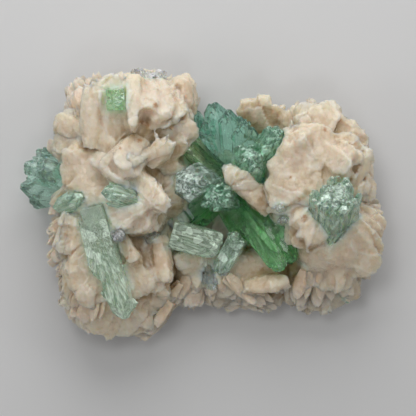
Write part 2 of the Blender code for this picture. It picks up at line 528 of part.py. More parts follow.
def cut_block():
    """Block below the ground whose top cuts the back off flat."""
    mesh = bpy.data.meshes.new("cut_block")
    form = bmesh.new()
    lower = Matrix.Translation((0.0, 0.0, -CUT_BLOCK / 2 * MM))
    bmesh.ops.create_cube(form, size=CUT_BLOCK * MM, matrix=lower)
    form.to_mesh(mesh)
    form.free()
    return bpy.data.objects.new("cut_block", mesh)


def boxes_meet(one, other):
    """True when the boxes of two lists of crystals come within the clearance."""
    bounds = []
    for group in (one, other):
        points = [p for crystal in group for p in crystal_points(*crystal, grow=CLEARANCE)]
        low = [min(p[axis] for p in points) for axis in range(3)]
        high = [max(p[axis] for p in points) for axis in range(3)]
        bounds.append((low, high))
    (low_a, high_a), (low_b, high_b) = bounds
    return all(low_a[i] < high_b[i] and low_b[i] < high_a[i] for i in range(3))


def build_crystals(name, earlier):
    """One group of apophyllite crystals in one solid, clear of the groups built earlier."""
    first, *others = [crystal_object(f"{name}_{n}", c) for n, c in enumerate(CRYSTAL_GROUPS[name])]
    mesh = boolean_result(first, others, "UNION") if others else first.data
    cutters = []
    for other in earlier:
        if boxes_meet(CRYSTAL_GROUPS[name], CRYSTAL_GROUPS[other]):
            for number, crystal in enumerate(CRYSTAL_GROUPS[other]):
                cutters.append(crystal_object(f"{other}_room_{number}", crystal, CLEARANCE))
    if cutters:
        mesh = boolean_result(bpy.data.objects.new(name, mesh), cutters, "DIFFERENCE")
    return mesh


def add_node(name, mesh, material):
    """Put a finished solid in the scene under its node name."""
    solid = tidy_solid(mesh)
    if len(solid.polygons) > MOST_TRIANGLES:
        solid = thin_out(solid, MOST_TRIANGLES)
    node = bpy.data.objects.new(name, solid)
    node.data.name = name
    node.data.materials.clear()
    node.data.materials.append(material)
    bpy.context.scene.collection.objects.link(node)
    return node


def main():
    """Build the matrix and each group of crystals."""
    clear_scene()
    rng = random.Random(SEED)
    stilbite = make_material("stilbite", STILBITE_COLOUR, STILBITE_ROUGHNESS)
    add_node("stilbite_matrix", build_matrix(rng), stilbite)
    earlier = []
    for name in CRYSTAL_GROUPS:
        colour = GROUP_COLOURS.get(name, COLOURLESS)
        crystal_material = make_material(f"apophyllite_{name}", colour, APOPHYLLITE_ROUGHNESS)
        add_node(name, build_crystals(name, earlier), crystal_material)
        earlier.append(name)


main()
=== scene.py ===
"""Apophyllite cluster: the look of the specimen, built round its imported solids.

Lengths in the tables are in millimetres, as in the part's source, and become metres in the meshes.
"""
import functools
import itertools
import json
import math

import bpy
import numpy as np
from bpy.props import FloatProperty, FloatVectorProperty, PointerProperty
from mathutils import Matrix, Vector

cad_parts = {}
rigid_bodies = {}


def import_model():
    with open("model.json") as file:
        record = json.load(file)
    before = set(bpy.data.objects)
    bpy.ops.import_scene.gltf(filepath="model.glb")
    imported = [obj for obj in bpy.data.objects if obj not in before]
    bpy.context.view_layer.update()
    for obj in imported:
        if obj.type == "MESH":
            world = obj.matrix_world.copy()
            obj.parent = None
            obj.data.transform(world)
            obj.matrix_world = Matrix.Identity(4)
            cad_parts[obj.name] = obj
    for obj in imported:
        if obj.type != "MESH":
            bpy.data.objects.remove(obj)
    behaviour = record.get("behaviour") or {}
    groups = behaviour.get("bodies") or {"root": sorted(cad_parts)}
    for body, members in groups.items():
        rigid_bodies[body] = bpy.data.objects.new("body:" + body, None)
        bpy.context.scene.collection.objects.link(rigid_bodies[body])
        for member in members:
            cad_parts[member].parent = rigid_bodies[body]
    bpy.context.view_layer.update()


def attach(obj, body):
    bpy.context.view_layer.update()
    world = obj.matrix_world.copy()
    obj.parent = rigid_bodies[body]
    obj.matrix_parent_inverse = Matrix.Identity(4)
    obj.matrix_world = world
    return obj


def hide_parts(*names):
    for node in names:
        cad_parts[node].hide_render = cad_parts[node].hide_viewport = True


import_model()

bl_info = {
    "name": "Apophyllite cluster",
    "version": (1, 0, 0),
    "blender": (4, 5, 0),
    "location": "View3D > Sidebar > Cluster",
    "description": "Stilbite blades, glassy apophyllite crystals, floor, light and camera",
    "category": "Object",
}

MM = 0.001
CENTRING = np.array((-0.3, -0.14, 0.0))   # moves the middle of the outline onto the origin
PYRAMID_RISE = 1.245                  # rise of an apophyllite pyramid face for each unit across
GROUND = 0.5                          # no loose blade comes lower than this above the cut back
STEEP = 0.93                          # a form that rises more than this for its length faces +Y

# Half width of a blade (share of the widest) along its length, by outline.
SHARE_ALONG = np.array((0.0, 0.2, 0.45, 0.7, 0.86, 0.95, 1.0))
HALF_WIDTHS = np.array((
    (0.72, 0.88, 1.00, 0.97, 0.84, 0.62, 0.30),
    (0.68, 0.86, 1.00, 0.80, 0.48, 0.24, 0.06),
    (0.84, 0.92, 1.00, 0.99, 0.93, 0.84, 0.66),
    (0.50, 0.72, 0.94, 1.00, 0.78, 0.52, 0.22),
))
OUTLINE_ROW = {"round": 0, "point": 1, "square": 2, "small": 3}
THICKNESS_ALONG = np.array((0.90, 0.98, 1.00, 0.96, 0.84, 0.66, 0.42))

# Lumps under the blades: middle and half sizes.
CORE_LUMPS = (
    ((-22.5, 26.0, 11.0), (15.5, 10.5, 18.5)),
    ((-27.0, 6.0, 11.0), (14.0, 15.0, 19.0)),
    ((-28.5, -18.5, 9.5), (12.0, 15.0, 15.5)),
    ((-14.0, -14.5, 6.0), (8.5, 12.5, 14.5)),
    ((-17.5, -1.0, 13.0), (8.5, 9.5, 14.0)),
    ((-11.5, 7.5, 6.0), (10.0, 14.0, 16.5)),
    ((-6.0, -9.0, 4.0), (8.0, 8.5, 10.0)),
    ((2.5, -19.5, 4.5), (12.0, 8.0, 12.5)),
    ((16.5, -20.0, 4.0), (13.0, 7.5, 11.5)),
    ((8.0, 1.0, 1.5), (19.0, 17.0, 8.0)),
    ((24.0, -9.0, 4.0), (11.5, 10.5, 8.0)),
    ((37.5, 14.5, 9.0), (12.5, 12.5, 15.5)),
    ((27.5, 5.0, 8.0), (8.0, 12.5, 18.5)),
    ((40.5, -7.5, 9.0), (12.0, 14.0, 17.0)),
    ((35.5, -22.0, 4.5), (11.5, 7.5, 9.0)),
)
LUMP_BOXINESS = 3.0
LUMP_INSET = 0.4                      # how far the lumps stay under the blades' roots

ROOT_SINK = 2.2                       # the roots of the display blades go this much deeper
# Stilbite blades that make the display side: root, tip, width, thickness, turn, outline.
LEFT_BLADES = (
    ((-32.3, 16.0, 30.0), (-31.1, 36.8, 31.5), 6.4, 4.6, -8, "round"),
    ((-26.4, 14.0, 29.0), (-26.0, 38.0, 28.5), 9.0, 5.0, 4, "square"),
    ((-19.4, 37.5, 28.0), (-19.7, 22.0, 34.0), 4.4, 5.2, 0, "round"),
    ((-4.9, 26.5, 19.0), (-5.3, 39.2, 20.5), 7.0, 8.0, 0, "round"),
    ((-7.0, 33.5, 19.0), (-4.6, 23.0, 25.0), 6.4, 6.0, 15, "round"),
    ((-13.4, 35.6, 21.0), (-10.4, 24.4, 32.5), 8.6, 6.0, 5, "round"),
    ((-15.8, 35.6, 23.0), (-15.0, 26.5, 33.0), 5.6, 5.0, -10, "round"),
    ((-11.0, 19.5, 26.0), (-0.4, 23.2, 23.5), 6.4, 5.0, 10, "round"),
    ((-11.6, 14.5, 24.0), (-3.2, 18.4, 26.0), 5.0, 4.2, 15, "round"),
    ((-14.4, 11.5, 30.0), (-9.1, 19.4, 34.0), 5.2, 4.0, 0, "point"),
    ((-17.9, 20.0, 29.0), (-24.5, 9.8, 36.5), 7.2, 5.0, 0, "round"),
    ((-15.8, 17.0, 28.5), (-21.2, 11.6, 36.0), 6.0, 4.0, 25, "round"),
    ((-31.0, 13.6, 29.0), (-20.6, 8.2, 36.0), 6.6, 5.0, -15, "round"),
    ((-31.0, 13.2, 28.0), (-41.0, 13.4, 24.5), 8.0, 5.0, -10, "round"),
    ((-32.5, 8.6, 29.0), (-41.4, 7.8, 23.5), 6.0, 4.4, 5, "round"),
    ((-34.0, 21.0, 27.0), (-42.0, 25.6, 19.0), 8.2, 5.0, -20, "round"),
    ((-34.0, 17.5, 28.0), (-43.4, 18.8, 18.0), 7.4, 4.6, 0, "round"),
    ((-36.5, 8.0, 24.5), (-44.4, -1.6, 17.0), 6.0, 4.0, -20, "round"),
    ((-19.8, 8.0, 29.0), (-9.4, -0.6, 34.5), 7.2, 6.0, 10, "round"),
    ((-29.0, 0.8, 29.5), (-15.0, -2.2, 32.0), 5.6, 4.6, -5, "round"),
    ((-22.8, -6.6, 27.5), (-13.2, -5.2, 30.5), 5.6, 5.0, 0, "round"),
    ((-23.0, -8.6, 26.4), (-19.0, -17.6, 28.0), 4.6, 4.2, 15, "round"),
    ((-12.6, -8.4, 23.0), (-9.4, -23.6, 23.0), 5.6, 5.0, 10, "round"),
    ((-16.8, -23.2, 22.5), (-8.4, -25.8, 19.0), 5.2, 6.0, 0, "round"),
    ((-18.8, -25.0, 20.5), (-9.4, -29.8, 14.0), 6.2, 5.0, 10, "round"),
    ((-16.2, -11.0, 20.0), (-15.4, -20.8, 20.0), 4.8, 4.0, -20, "round"),
    ((-18.0, -28.4, 17.0), (-11.8, -32.6, 11.0), 5.2, 4.0, 0, "round"),
    ((-38.0, -1.6, 27.0), (-40.4, -17.6, 21.0), 5.8, 4.6, -20, "round"),
    ((-35.4, -2.4, 29.0), (-36.4, -26.0, 24.5), 6.4, 5.0, -8, "round"),
    ((-34.6, -16.6, 26.5), (-31.0, -30.4, 23.0), 10.0, 5.0, 4, "round"),
    ((-36.8, -19.0, 24.0), (-38.4, -32.0, 17.0), 6.4, 4.4, -22, "round"),
    ((-28.6, -26.4, 23.5), (-30.6, -38.4, 14.5), 9.2, 5.0, 0, "round"),
    ((-26.2, -31.0, 20.0), (-27.8, -41.1, 14.0), 3.4, 3.0, 0, "point"),
    ((-23.0, -29.0, 20.0), (-23.2, -39.2, 13.0), 5.2, 3.6, -8, "square"),
    ((-22.0, -29.5, 20.5), (-19.4, -40.2, 13.5), 5.6, 3.6, 5, "square"),
    ((-20.5, -29.5, 20.0), (-15.0, -38.8, 13.0), 5.6, 3.4, 12, "square"),
    ((-26.6, 0.5, 30.0), (-21.4, -7.6, 32.5), 6.4, 4.6, 0, "round"),
    ((-21.6, -16.8, 26.5), (-17.8, -28.0, 22.5), 6.2, 5.0, 8, "round"),
    ((-11.5, 10.0, 22.0), (-6.0, 13.5, 22.0), 6.0, 5.0, 15, "round"),
)
MIDDLE_BLADES = (
    ((23.0, -1.0, 22.5), (8.2, 10.2, 29.0), 7.0, 4.0, 8, "round"),
    ((17.4, 20.5, 13.0), (14.2, 31.8, 17.0), 4.6, 3.0, -6, "square"),
    ((17.8, 20.5, 13.5), (18.8, 33.0, 18.5), 5.4, 3.0, 4, "square"),
    ((18.8, 20.5, 13.0), (22.4, 30.8, 18.5), 5.2, 3.0, 8, "square"),
    ((19.4, 21.0, 12.5), (26.6, 28.8, 17.0), 4.6, 2.8, 12, "point"),
    ((3.0, -15.2, 15.0), (-7.8, -17.4, 20.0), 5.8, 5.0, 0, "round"),
    ((-1.0, -16.0, 17.0), (-0.2, -26.4, 17.0), 5.0, 4.0, 8, "point"),
    ((-3.0, -21.0, 13.0), (-2.9, -31.5, 8.5), 6.2, 5.0, 0, "round"),
    ((8.2, -23.0, 12.0), (6.2, -31.6, 7.0), 8.2, 4.0, 0, "point"),
    ((8.6, -18.6, 15.0), (7.4, -28.4, 12.5), 4.6, 5.0, 12, "round"),
    ((14.4, -25.0, 15.5), (27.2, -22.8, 18.5), 5.4, 4.6, -12, "round"),
    ((14.4, -22.0, 11.0), (14.8, -30.6, 7.0), 8.4, 4.0, 0, "round"),
    ((24.0, -24.0, 12.0), (19.8, -32.4, 8.0), 4.2, 3.0, 10, "point"),
    ((25.0, -24.0, 12.0), (23.4, -31.6, 8.0), 4.0, 3.0, 0, "point"),
    ((29.4, -22.4, 13.0), (28.4, -30.6, 8.0), 5.4, 4.0, 0, "round"),
    ((12.8, -15.0, 10.0), (24.4, -20.4, 13.5), 6.2, 5.0, 0, "round"),
)
RIGHT_BLADES = (
    ((35.4, 16.4, 21.0), (27.0, 28.6, 16.0), 8.6, 5.0, -10, "square"),
    ((35.6, 16.0, 23.0), (31.6, 31.0, 18.0), 8.6, 5.0, -5, "round"),
    ((35.8, 16.0, 24.0), (37.0, 31.0, 19.0), 9.0, 5.0, 0, "round"),
    ((36.4, 16.0, 24.0), (42.8, 27.4, 19.0), 9.0, 5.0, 6, "round"),
    ((37.0, 15.4, 23.5), (48.6, 23.2, 18.0), 9.4, 5.0, 10, "square"),
    ((38.0, 15.0, 23.0), (51.4, 16.6, 16.5), 9.4, 5.0, 10, "round"),
    ((39.0, 13.0, 23.0), (52.6, 9.2, 15.5), 8.4, 5.0, 10, "round"),
    ((37.6, 20.4, 26.0), (28.6, 19.0, 28.5), 6.4, 4.6, -8, "round"),
    ((37.0, 18.2, 27.5), (24.4, 14.2, 28.0), 6.6, 4.6, 0, "round"),
    ((36.6, 16.0, 28.0), (20.8, 10.6, 25.0), 6.4, 5.0, 6, "round"),
    ((32.4, 9.4, 28.5), (20.2, 4.4, 25.0), 7.2, 5.0, 6, "round"),
    ((32.4, 5.8, 29.5), (21.6, -0.4, 25.5), 6.0, 5.0, 10, "round"),
    ((26.0, 5.4, 27.0), (20.6, -2.5, 23.5), 2.6, 2.8, 0, "round"),
    ((28.6, 4.4, 28.0), (23.2, -2.3, 24.5), 2.6, 2.8, 0, "round"),
    ((44.6, 7.8, 26.5), (53.2, 4.0, 18.0), 7.6, 4.2, 5, "round"),
    ((37.2, 16.6, 27.0), (45.6, 10.0, 32.0), 8.0, 6.0, 10, "round"),
    ((43.4, 16.6, 25.0), (50.6, 13.0, 19.5), 8.0, 5.0, 10, "round"),
    ((38.8, -4.8, 28.0), (32.0, -12.8, 29.0), 7.2, 5.0, -6, "point"),
    ((43.2, -5.8, 27.5), (53.0, -20.4, 18.0), 10.4, 5.0, 12, "round"),
    ((44.4, -2.8, 27.5), (54.6, -11.0, 16.5), 9.0, 5.0, 12, "round"),
    ((29.0, 0.6, 25.0), (29.0, -12.8, 24.5), 4.2, 5.0, -10, "round"),
    ((32.4, 1.8, 26.0), (30.6, -7.4, 28.5), 5.2, 4.6, 5, "round"),
    ((39.4, -7.0, 19.5), (37.6, -18.8, 18.0), 6.2, 4.0, -6, "round"),
    ((42.8, -13.0, 21.5), (41.2, -26.4, 15.5), 6.4, 5.0, 4, "round"),
    ((41.2, -20.6, 14.5), (29.6, -23.8, 14.5), 6.2, 5.0, 0, "round"),
    ((38.6, -23.6, 12.0), (35.4, -32.2, 7.5), 7.4, 4.0, -5, "round"),
    ((39.4, -23.6, 12.0), (40.0, -32.0, 7.5), 7.4, 4.0, 5, "round"),
    ((32.0, -25.0, 10.0), (33.8, -33.3, 6.0), 5.2, 3.2, 0, "point"),
    ((44.4, -19.6, 15.5), (47.8, -28.4, 9.5), 6.4, 4.0, 8, "round"),
)

# Broad smooth plates over the blades of the right lobe, laid out as the blades are.
SMOOTH_PLATES = (
    ((38.0, 4.0, 25.5), (33.0, 24.5, 26.5), 12.0, 4.0, 0, "round"),
    ((40.0, 4.0, 25.5), (44.5, 22.0, 25.5), 12.0, 4.0, 0, "round"),
    ((37.0, 2.0, 26.5), (26.0, 13.0, 27.0), 11.0, 4.0, 0, "round"),
    ((42.0, 3.0, 25.0), (50.0, 9.0, 21.0), 10.0, 4.0, 0, "round"),
)

# Tips of the blades round the edge: x, y, width.
LEFT_RIM = (
    (-45.4, 18.4, 4.0), (-42.8, 23.6, 4.5), (-41.6, 27.0, 4.0), (-39.8, 30.8, 4.5),
    (-39.2, 36.0, 4.5), (-36.6, 37.6, 4.5), (-31.7, 39.0, 5.0), (-27.6, 37.8, 4.5),
    (-24.2, 39.3, 5.0), (-20.6, 39.3, 4.5), (-17.4, 39.9, 4.0), (-12.0, 39.4, 4.5),
    (-8.6, 38.6, 3.5), (-2.9, 37.4, 4.5), (-1.4, 33.9, 4.5), (-2.0, 29.6, 4.5),
    (-2.4, 26.0, 4.5), (-44.6, -1.8, 4.5), (-43.6, -5.2, 4.5), (-45.5, -8.1, 4.0),
    (-45.5, -11.0, 4.0), (-44.0, -13.8, 4.5), (-44.6, -17.6, 4.5), (-42.4, -21.4, 4.5),
    (-42.0, -25.6, 4.0), (-39.6, -28.6, 4.0), (-38.9, -34.4, 4.5), (-35.9, -36.4, 4.5),
    (-33.6, -38.3, 4.5),
)
LOWER_RIM = (
    (-28.9, -38.6, 4.0), (-24.0, -38.8, 4.0), (-17.6, -40.2, 4.5), (-14.8, -38.6, 4.0),
    (-12.4, -34.4, 3.0), (-9.4, -31.6, 4.5), (-6.0, -29.8, 3.5), (-2.6, -31.4, 4.5),
    (1.0, -28.8, 4.0), (4.0, -30.2, 4.0), (11.4, -30.6, 4.0), (16.8, -31.2, 4.5),
    (19.8, -32.0, 3.5), (23.4, -31.2, 3.5), (28.6, -30.6, 4.5), (31.4, -31.6, 4.0),
    (37.2, -32.2, 4.5), (41.4, -31.4, 4.5), (46.4, -28.8, 4.5), (48.4, -25.6, 4.0),
)
RIGHT_RIM = (
    (51.8, -22.2, 4.5), (53.6, -17.4, 4.5), (54.5, -13.6, 4.5), (54.8, -9.0, 4.0),
    (55.1, -3.0, 3.6), (54.2, 0.6, 4.0), (53.3, 4.4, 4.5), (52.4, 10.0, 4.5),
    (51.4, 15.0, 4.5), (49.8, 19.4, 4.5), (49.6, 22.2, 4.0), (46.2, 24.4, 4.5),
    (42.4, 27.4, 4.5), (38.2, 30.1, 4.5), (34.4, 31.5, 4.5), (30.8, 30.6, 4.5),
    (27.0, 28.4, 4.0), (26.9, 25.4, 3.5),
)
# Each stretch of the edge with its share of the full height.
RIM_STRETCHES = ((LEFT_RIM, 1.0), (LOWER_RIM, 0.66), (RIGHT_RIM, 0.94))
RIM_MIDDLES = np.array(((-24.0, 2.0), (2.0, -14.0), (37.0, 0.0)))   # what the edge blades point out of
RIM_REACH = np.array((30.0, 34.0))    # half sizes of the ring of blade roots round a middle
RIM_SLIDE = 1.3                       # most that the tip of an inner row moves, in x and in y
RIM_ROOT_RISE = (-1.5, 4.0)           # height of a root above its tip
RIM_TURN = 40.0                       # most turn of an edge blade either way
RIM_WIDTH = (0.75, 1.2)               # least and most width beside the width in the tables
RIM_THICKNESS = (1.2, 2.0)
RIM_OUTLINES = ("point", "square", "small")
RIM_SEED = 11
# Rows of blades at the edge: inset of the tip, lowest and highest tip, length of a blade.
RIM_ROWS = (
    (0.0, 11.5, 17.0, 9.0),
    (0.6, 8.0, 11.5, 9.0),
    (1.4, 5.4, 8.0, 8.0),
    (2.6, 1.8, 4.6, 8.0),
    (2.2, 16.0, 19.0, 9.0),
    (4.4, 19.0, 23.0, 9.0),
)

# Apophyllite crystals: root, tip, width, depth, turn, cut.
# A cut of 0 keeps the whole point, 1 cuts it to a diamond, and 2 leaves a square flat end.
FAN = (
    ((10.0, 5.0, 9.0), (4.7, 31.8, 19.0), 6.6, 4.2, 0, 0.0),
    ((10.6, 5.0, 10.0), (8.9, 29.0, 22.0), 5.2, 4.0, 10, 0.1),
    ((11.6, 5.0, 10.0), (12.4, 27.0, 21.0), 5.4, 4.2, 0, 0.1),
    ((12.6, 6.0, 8.5), (16.2, 23.4, 20.0), 5.0, 4.2, 10, 0.2),
    ((7.0, 7.0, 8.5), (-1.6, 29.4, 13.5), 3.2, 3.0, 20, 0.0),
    ((8.0, 7.0, 9.0), (1.4, 25.4, 18.0), 4.4, 3.6, 10, 0.1),
    ((8.4, 6.0, 9.5), (-0.4, 21.8, 20.5), 5.2, 4.2, 0, 0.2),
)
OLIVE_PRISM = (((9.0, 7.0, 11.0), (-4.6, 18.8, 22.0), 5.2, 4.4, 40, 0.5),)
WINDOW_CRYSTAL = (((4.0, 8.0, 11.0), (-4.9, 5.4, 33.0), 9.2, 8.4, 20, 0.62),)
SPARKLING_CRYSTAL = (((10.6, 1.6, 10.0), (4.6, 2.2, 30.5), 7.8, 6.8, 12, 0.55),)
FRONT_PRISMS = (
    ((14.4, 7.0, 9.0), (15.6, 15.2, 30.0), 7.8, 6.6, 5, 0.6),
    ((16.0, 9.0, 9.0), (23.9, 21.9, 26.5), 6.6, 6.2, 40, 0.55),
)
LONG_SPRAY = (
    ((7.6, 3.6, 11.0), (26.0, -20.1, 22.0), 5.4, 4.8, 15, 0.1),
    ((10.6, 5.0, 10.0), (29.4, -17.2, 19.5), 6.4, 5.0, 0, 0.2),
    ((13.6, 5.0, 9.0), (31.6, -13.4, 16.0), 6.0, 5.0, 0, 0.3),
    ((6.4, 3.0, 9.0), (15.0, -12.0, 15.0), 5.6, 5.0, 10, 0.3),
    ((8.0, 3.4, 8.5), (-3.0, -6.4, 13.0), 7.0, 5.4, 0, 0.3),
    ((6.0, 3.4, 8.5), (-9.4, -5.8, 15.5), 6.4, 5.4, 15, 0.45),
)
LEFT_SPRAY = (
    ((-41.0, 7.0, 12.0), (-47.4, 11.6, 23.5), 6.4, 5.8, 20, 0.6),
    ((-41.0, 3.6, 10.0), (-55.1, 5.7, 14.0), 6.6, 5.4, 10, 0.0),
    ((-42.0, 8.0, 9.0), (-53.0, 12.4, 11.5), 5.4, 4.6, 0, 0.25),
    ((-42.0, 9.0, 9.0), (-49.2, 16.6, 12.5), 5.2, 4.6, 25, 0.25),
    ((-41.0, 2.0, 8.0), (-51.8, 1.0, 9.5), 4.6, 4.2, 0, 0.2),
)
LONG_PRISM = (
    ((-31.8, -0.6, 30.0), (-21.8, -34.2, 27.0), 6.8, 6.0, 10, 0.35),
    ((-33.6, -4.5, 28.6), (-29.4, -22.6, 27.6), 3.8, 3.6, 20, 0.2),
    ((-25.6, -27.2, 25.0), (-29.4, -26.4, 26.6), 2.8, 2.6, 0, 0.1),
    ((-24.4, -28.6, 24.4), (-18.6, -30.2, 25.2), 3.4, 3.2, 30, 0.3),
)
# Pieces of apophyllite: name, node that it stands for, crystals, finish, and its parallel growth:
# number of smaller crystals on each, their share of its width, and how unevenly they end.
CRYSTAL_PIECES = (
    ("apophyllite_fan", "central_spray", FAN, "fan", 7, 0.34, 2.6),
    ("apophyllite_olive_prism", "central_spray", OLIVE_PRISM, "olive", 5, 0.4, 0.8),
    ("apophyllite_window_crystal", "central_spray", WINDOW_CRYSTAL, "bright", 5, 0.4, 0.6),
    ("apophyllite_sparkling_crystal", "central_spray", SPARKLING_CRYSTAL, "green", 26, 0.24, 0.8),
    ("apophyllite_front_prisms", "central_spray", FRONT_PRISMS, "green", 12, 0.32, 0.9),
    ("apophyllite_long_spray", "central_spray", LONG_SPRAY, "deep", 8, 0.36, 3.0),
    ("apophyllite_left_spray", "left_spray", LEFT_SPRAY, "spray", 7, 0.36, 1.6),
    ("apophyllite_long_prism", "long_prism", LONG_PRISM, "mint", 7, 0.42, 2.2),
    ("apophyllite_square_crystal", "square_crystal",
     (((-24.2, 32.6, 24.0), (-24.6, 31.2, 33.5), 5.4, 6.2, 4, 2.0),), "square", 4, 0.55, 0.5),
    ("apophyllite_left_tip", "left_tip",
     (((-41.6, -1.0, 22.5), (-35.0, 2.8, 29.6), 4.8, 4.2, 30, 0.35),), "pale", 8, 0.36, 0.7),
    ("apophyllite_middle_tip", "middle_tip",
     (((-17.6, 1.4, 29.0), (-28.0, 4.2, 35.8), 5.4, 5.0, 35, 0.4),), "pale", 14, 0.3, 0.8),
    ("apophyllite_block", "block_crystal",
     (((-7.4, -8.8, 21.0), (6.2, -12.8, 23.6), 7.8, 7.4, 8, 0.7),), "mint", 14, 0.34, 1.2),
    ("apophyllite_green_prism", "green_prism",
     (((12.2, -10.0, 19.0), (6.0, -20.8, 16.5), 5.4, 5.0, 10, 0.4),
      ((11.4, -11.0, 19.0), (10.2, -9.4, 25.2), 3.0, 2.8, 0, 0.5)), "pale", 7, 0.4, 0.9),
    ("apophyllite_diamond_crystal", "diamond_crystal",
     (((40.2, -7.4, 19.0), (41.0, 3.4, 37.0), 11.2, 10.4, 45, 0.72),), "pale", 40, 0.18, 0.9),
    ("apophyllite_grey_prism", "grey_prism",
     (((-15.4, -27.6, 14.0), (-12.2, -35.6, 11.0), 3.2, 3.0, 15, 0.3),), "clear", 4, 0.45, 0.6),
    ("apophyllite_bridge_crystal", "bridge_crystal",
     (((2.0, -19.4, 15.0), (4.6, -25.8, 17.0), 4.2, 3.8, 20, 0.4),), "clear", 8, 0.4, 0.7),
    ("apophyllite_top_crystals", "top_crystals",
     (((-17.6, 34.6, 19.0), (-17.8, 40.8, 23.0), 3.8, 3.6, 10, 0.6),
      ((-15.2, 34.4, 19.5), (-15.0, 39.4, 24.0), 3.6, 3.4, 35, 0.6),
      ((-13.0, 34.2, 19.0), (-11.6, 40.2, 23.0), 4.2, 3.8, 20, 0.6)), "frosted", 5, 0.4, 0.5),
    ("apophyllite_bright_crystal", "bright_crystal",
     (((-24.4, -8.0, 28.5), (-23.4, -10.2, 35.0), 3.8, 3.4, 30, 0.6),), "frosted", 0, 0.45, 0.4),
    ("apophyllite_hollow_crystal", "hollow_crystal",
     (((-14.6, -7.6, 17.0), (-13.4, -10.6, 24.0), 3.8, 3.4, 20, 0.55),), "clear", 8, 0.36, 0.6),
    ("apophyllite_upper_bit", "upper_bit",
     (((25.2, -0.2, 24.5), (24.2, -1.4, 30.6), 2.8, 2.6, 20, 0.5),), "clear", 5, 0.42, 0.5),
    ("apophyllite_lower_bit", "lower_bit",
     (((26.2, -3.4, 22.0), (25.4, -5.2, 28.4), 2.6, 2.4, 40, 0.5),), "clear", 5, 0.42, 0.5),
    ("apophyllite_foot_crystal", "foot_crystal",
     (((33.6, -14.8, 12.0), (32.8, -18.2, 18.0), 3.2, 3.0, 15, 0.5),), "clear", 5, 0.42, 0.5),
    ("apophyllite_edge_chip", "edge_chip",
     (((42.8, -26.2, 8.5), (46.2, -29.4, 8.0), 3.0, 2.8, 20, 0.4),), "pale", 3, 0.5, 0.4),
)
ALL_CRYSTALS = tuple(crystal for piece in CRYSTAL_PIECES for crystal in piece[2])
# Each finish: share of each colour of light that is kept inside, how strongly the rest is lost in a
# metre, tint, strength of the veils, tilt of the small facets, slot.
CRYSTAL_FINISHES = {
    "deep": ((0.12, 0.86, 0.24), 26.0, (0.50, 0.95, 0.52), 0.3, 0.2, "deep_green_apophyllite"),
    "fan": ((0.16, 0.80, 0.60), 22.0, (0.58, 0.92, 0.80), 0.25, 0.2, "deep_green_apophyllite"),
    "square": ((0.16, 0.86, 0.34), 10.0, (0.66, 0.98, 0.68), 0.6, 0.35, "deep_green_apophyllite"),
    "olive": ((0.45, 0.85, 0.15), 20.0, (0.70, 0.90, 0.56), 0.3, 0.2, "deep_green_apophyllite"),
    "pale": ((0.25, 0.88, 0.50), 6.0, (0.80, 1.0, 0.86), 1.0, 0.35, "pale_green_apophyllite"),
    "green": ((0.18, 0.88, 0.50), 12.0, (0.66, 1.0, 0.80), 0.85, 0.4, "pale_green_apophyllite"),
    "spray": ((0.25, 0.86, 0.62), 9.0, (0.72, 0.96, 0.86), 0.4, 0.35, "pale_green_apophyllite"),
    "mint": ((0.30, 0.90, 0.50), 4.0, (0.84, 1.0, 0.84), 1.25, 0.14, "pale_green_apophyllite"),
    "bright": ((0.40, 0.90, 0.70), 3.0, (0.84, 1.0, 0.92), 0.85, 0.25, "pale_green_apophyllite"),
    "clear": ((0.50, 0.86, 0.70), 1.0, (0.94, 1.0, 0.98), 0.4, 0.3, "colourless_apophyllite"),
    "frosted": ((0.70, 0.86, 0.80), 1.0, (0.97, 0.98, 1.0), 0.8, 0.5, "colourless_apophyllite"),
}

# Stilbite finish: cells in a metre of its clouds, patches and grain, and of its small facets with their
# tilts; heights in metres between which it gets painted shade low down, less painted shade in the hollows on
# top, and a painted pale highlight on top.
CLOUDS = 120.0
PATCHES = 420.0
GRAIN = 1700.0
SMALL_FACETS = ((330.0, 0.45), (900.0, 0.5))
LOW_SHADE_HEIGHTS = (0.009, 0.018)
SHADE_HEIGHTS = (0.026, 0.033)
TOP_HIGHLIGHT_HEIGHTS = (0.026, 0.034)
EDGE_SCATTER = 0.08                   # scatter in a loose edge blade beside that in the mass
# Apophyllite finish: veils in the lines, in some of the small facets, everywhere, and added at the
# tips, which start at a share of the distance to the tip; cells in a metre of the etched patches.
VEIL_LINES = 0.58
VEIL_FACETS = 0.3
VEIL_ALL = 0.06
VEIL_TIPS = 0.35
TIPS_START = 0.78
ETCHING = 1100.0

# Brown stains on the display side: x, y, radius, strength.
RUST_SPOTS = np.array((
    (-12.8, 29.7, 1.0, 1.0), (-17.0, 24.6, 1.1, 0.9), (-15.2, 23.7, 1.0, 0.9),
    (-17.6, 19.2, 1.2, 0.8), (-23.3, 16.8, 0.8, 1.0), (-21.5, -16.2, 0.8, 1.0),
    (27.5, 8.1, 0.7, 1.0), (30.2, 1.5, 1.1, 0.7), (30.5, -4.2, 1.5, 0.7),
    (32.3, -3.3, 1.3, 0.6), (38.0, 22.2, 1.0, 0.8), (-32.9, 19.4, 3.6, 0.35),
    (-17.9, -13.8, 3.0, 0.4), (18.8, -18.3, 5.5, 0.4), (37.7, -12.3, 4.0, 0.45),
    (28.7, -18.3, 4.0, 0.35),
))
# Hollows, which get painted shade: a grid of cells counts how packed the stilbite is at a few distances out
# of the surface.
CROWD_CELL = 1.6
CROWD_REACHES = ((1.8, 0.3), (3.4, 0.4), (5.4, 0.3))   # distance, share of the count
MIDDLE_HEIGHTS = (6.0, 2.0, 6.0)      # heights of the middles that the surface faces away from
SIDE_SHARE = 0.7                      # how far that counts sideways
VIEWER_SHARE = 6.0                    # how far it leans towards the viewer, in mm

# How the blades are made up: plates in a stack, stations along a plate, columns round it, chance
# looseness of the stack, most length broken off an end, and seed.
DISPLAY_MAKE_UP = (5, 18, 20, 0.8, 0.6, 3)
RIM_MAKE_UP = (1, 7, 8, 1.3, 0.9, 9)
LOOSE_MAKE_UP = (2, 7, 8, 0.8, 1.1, 9)
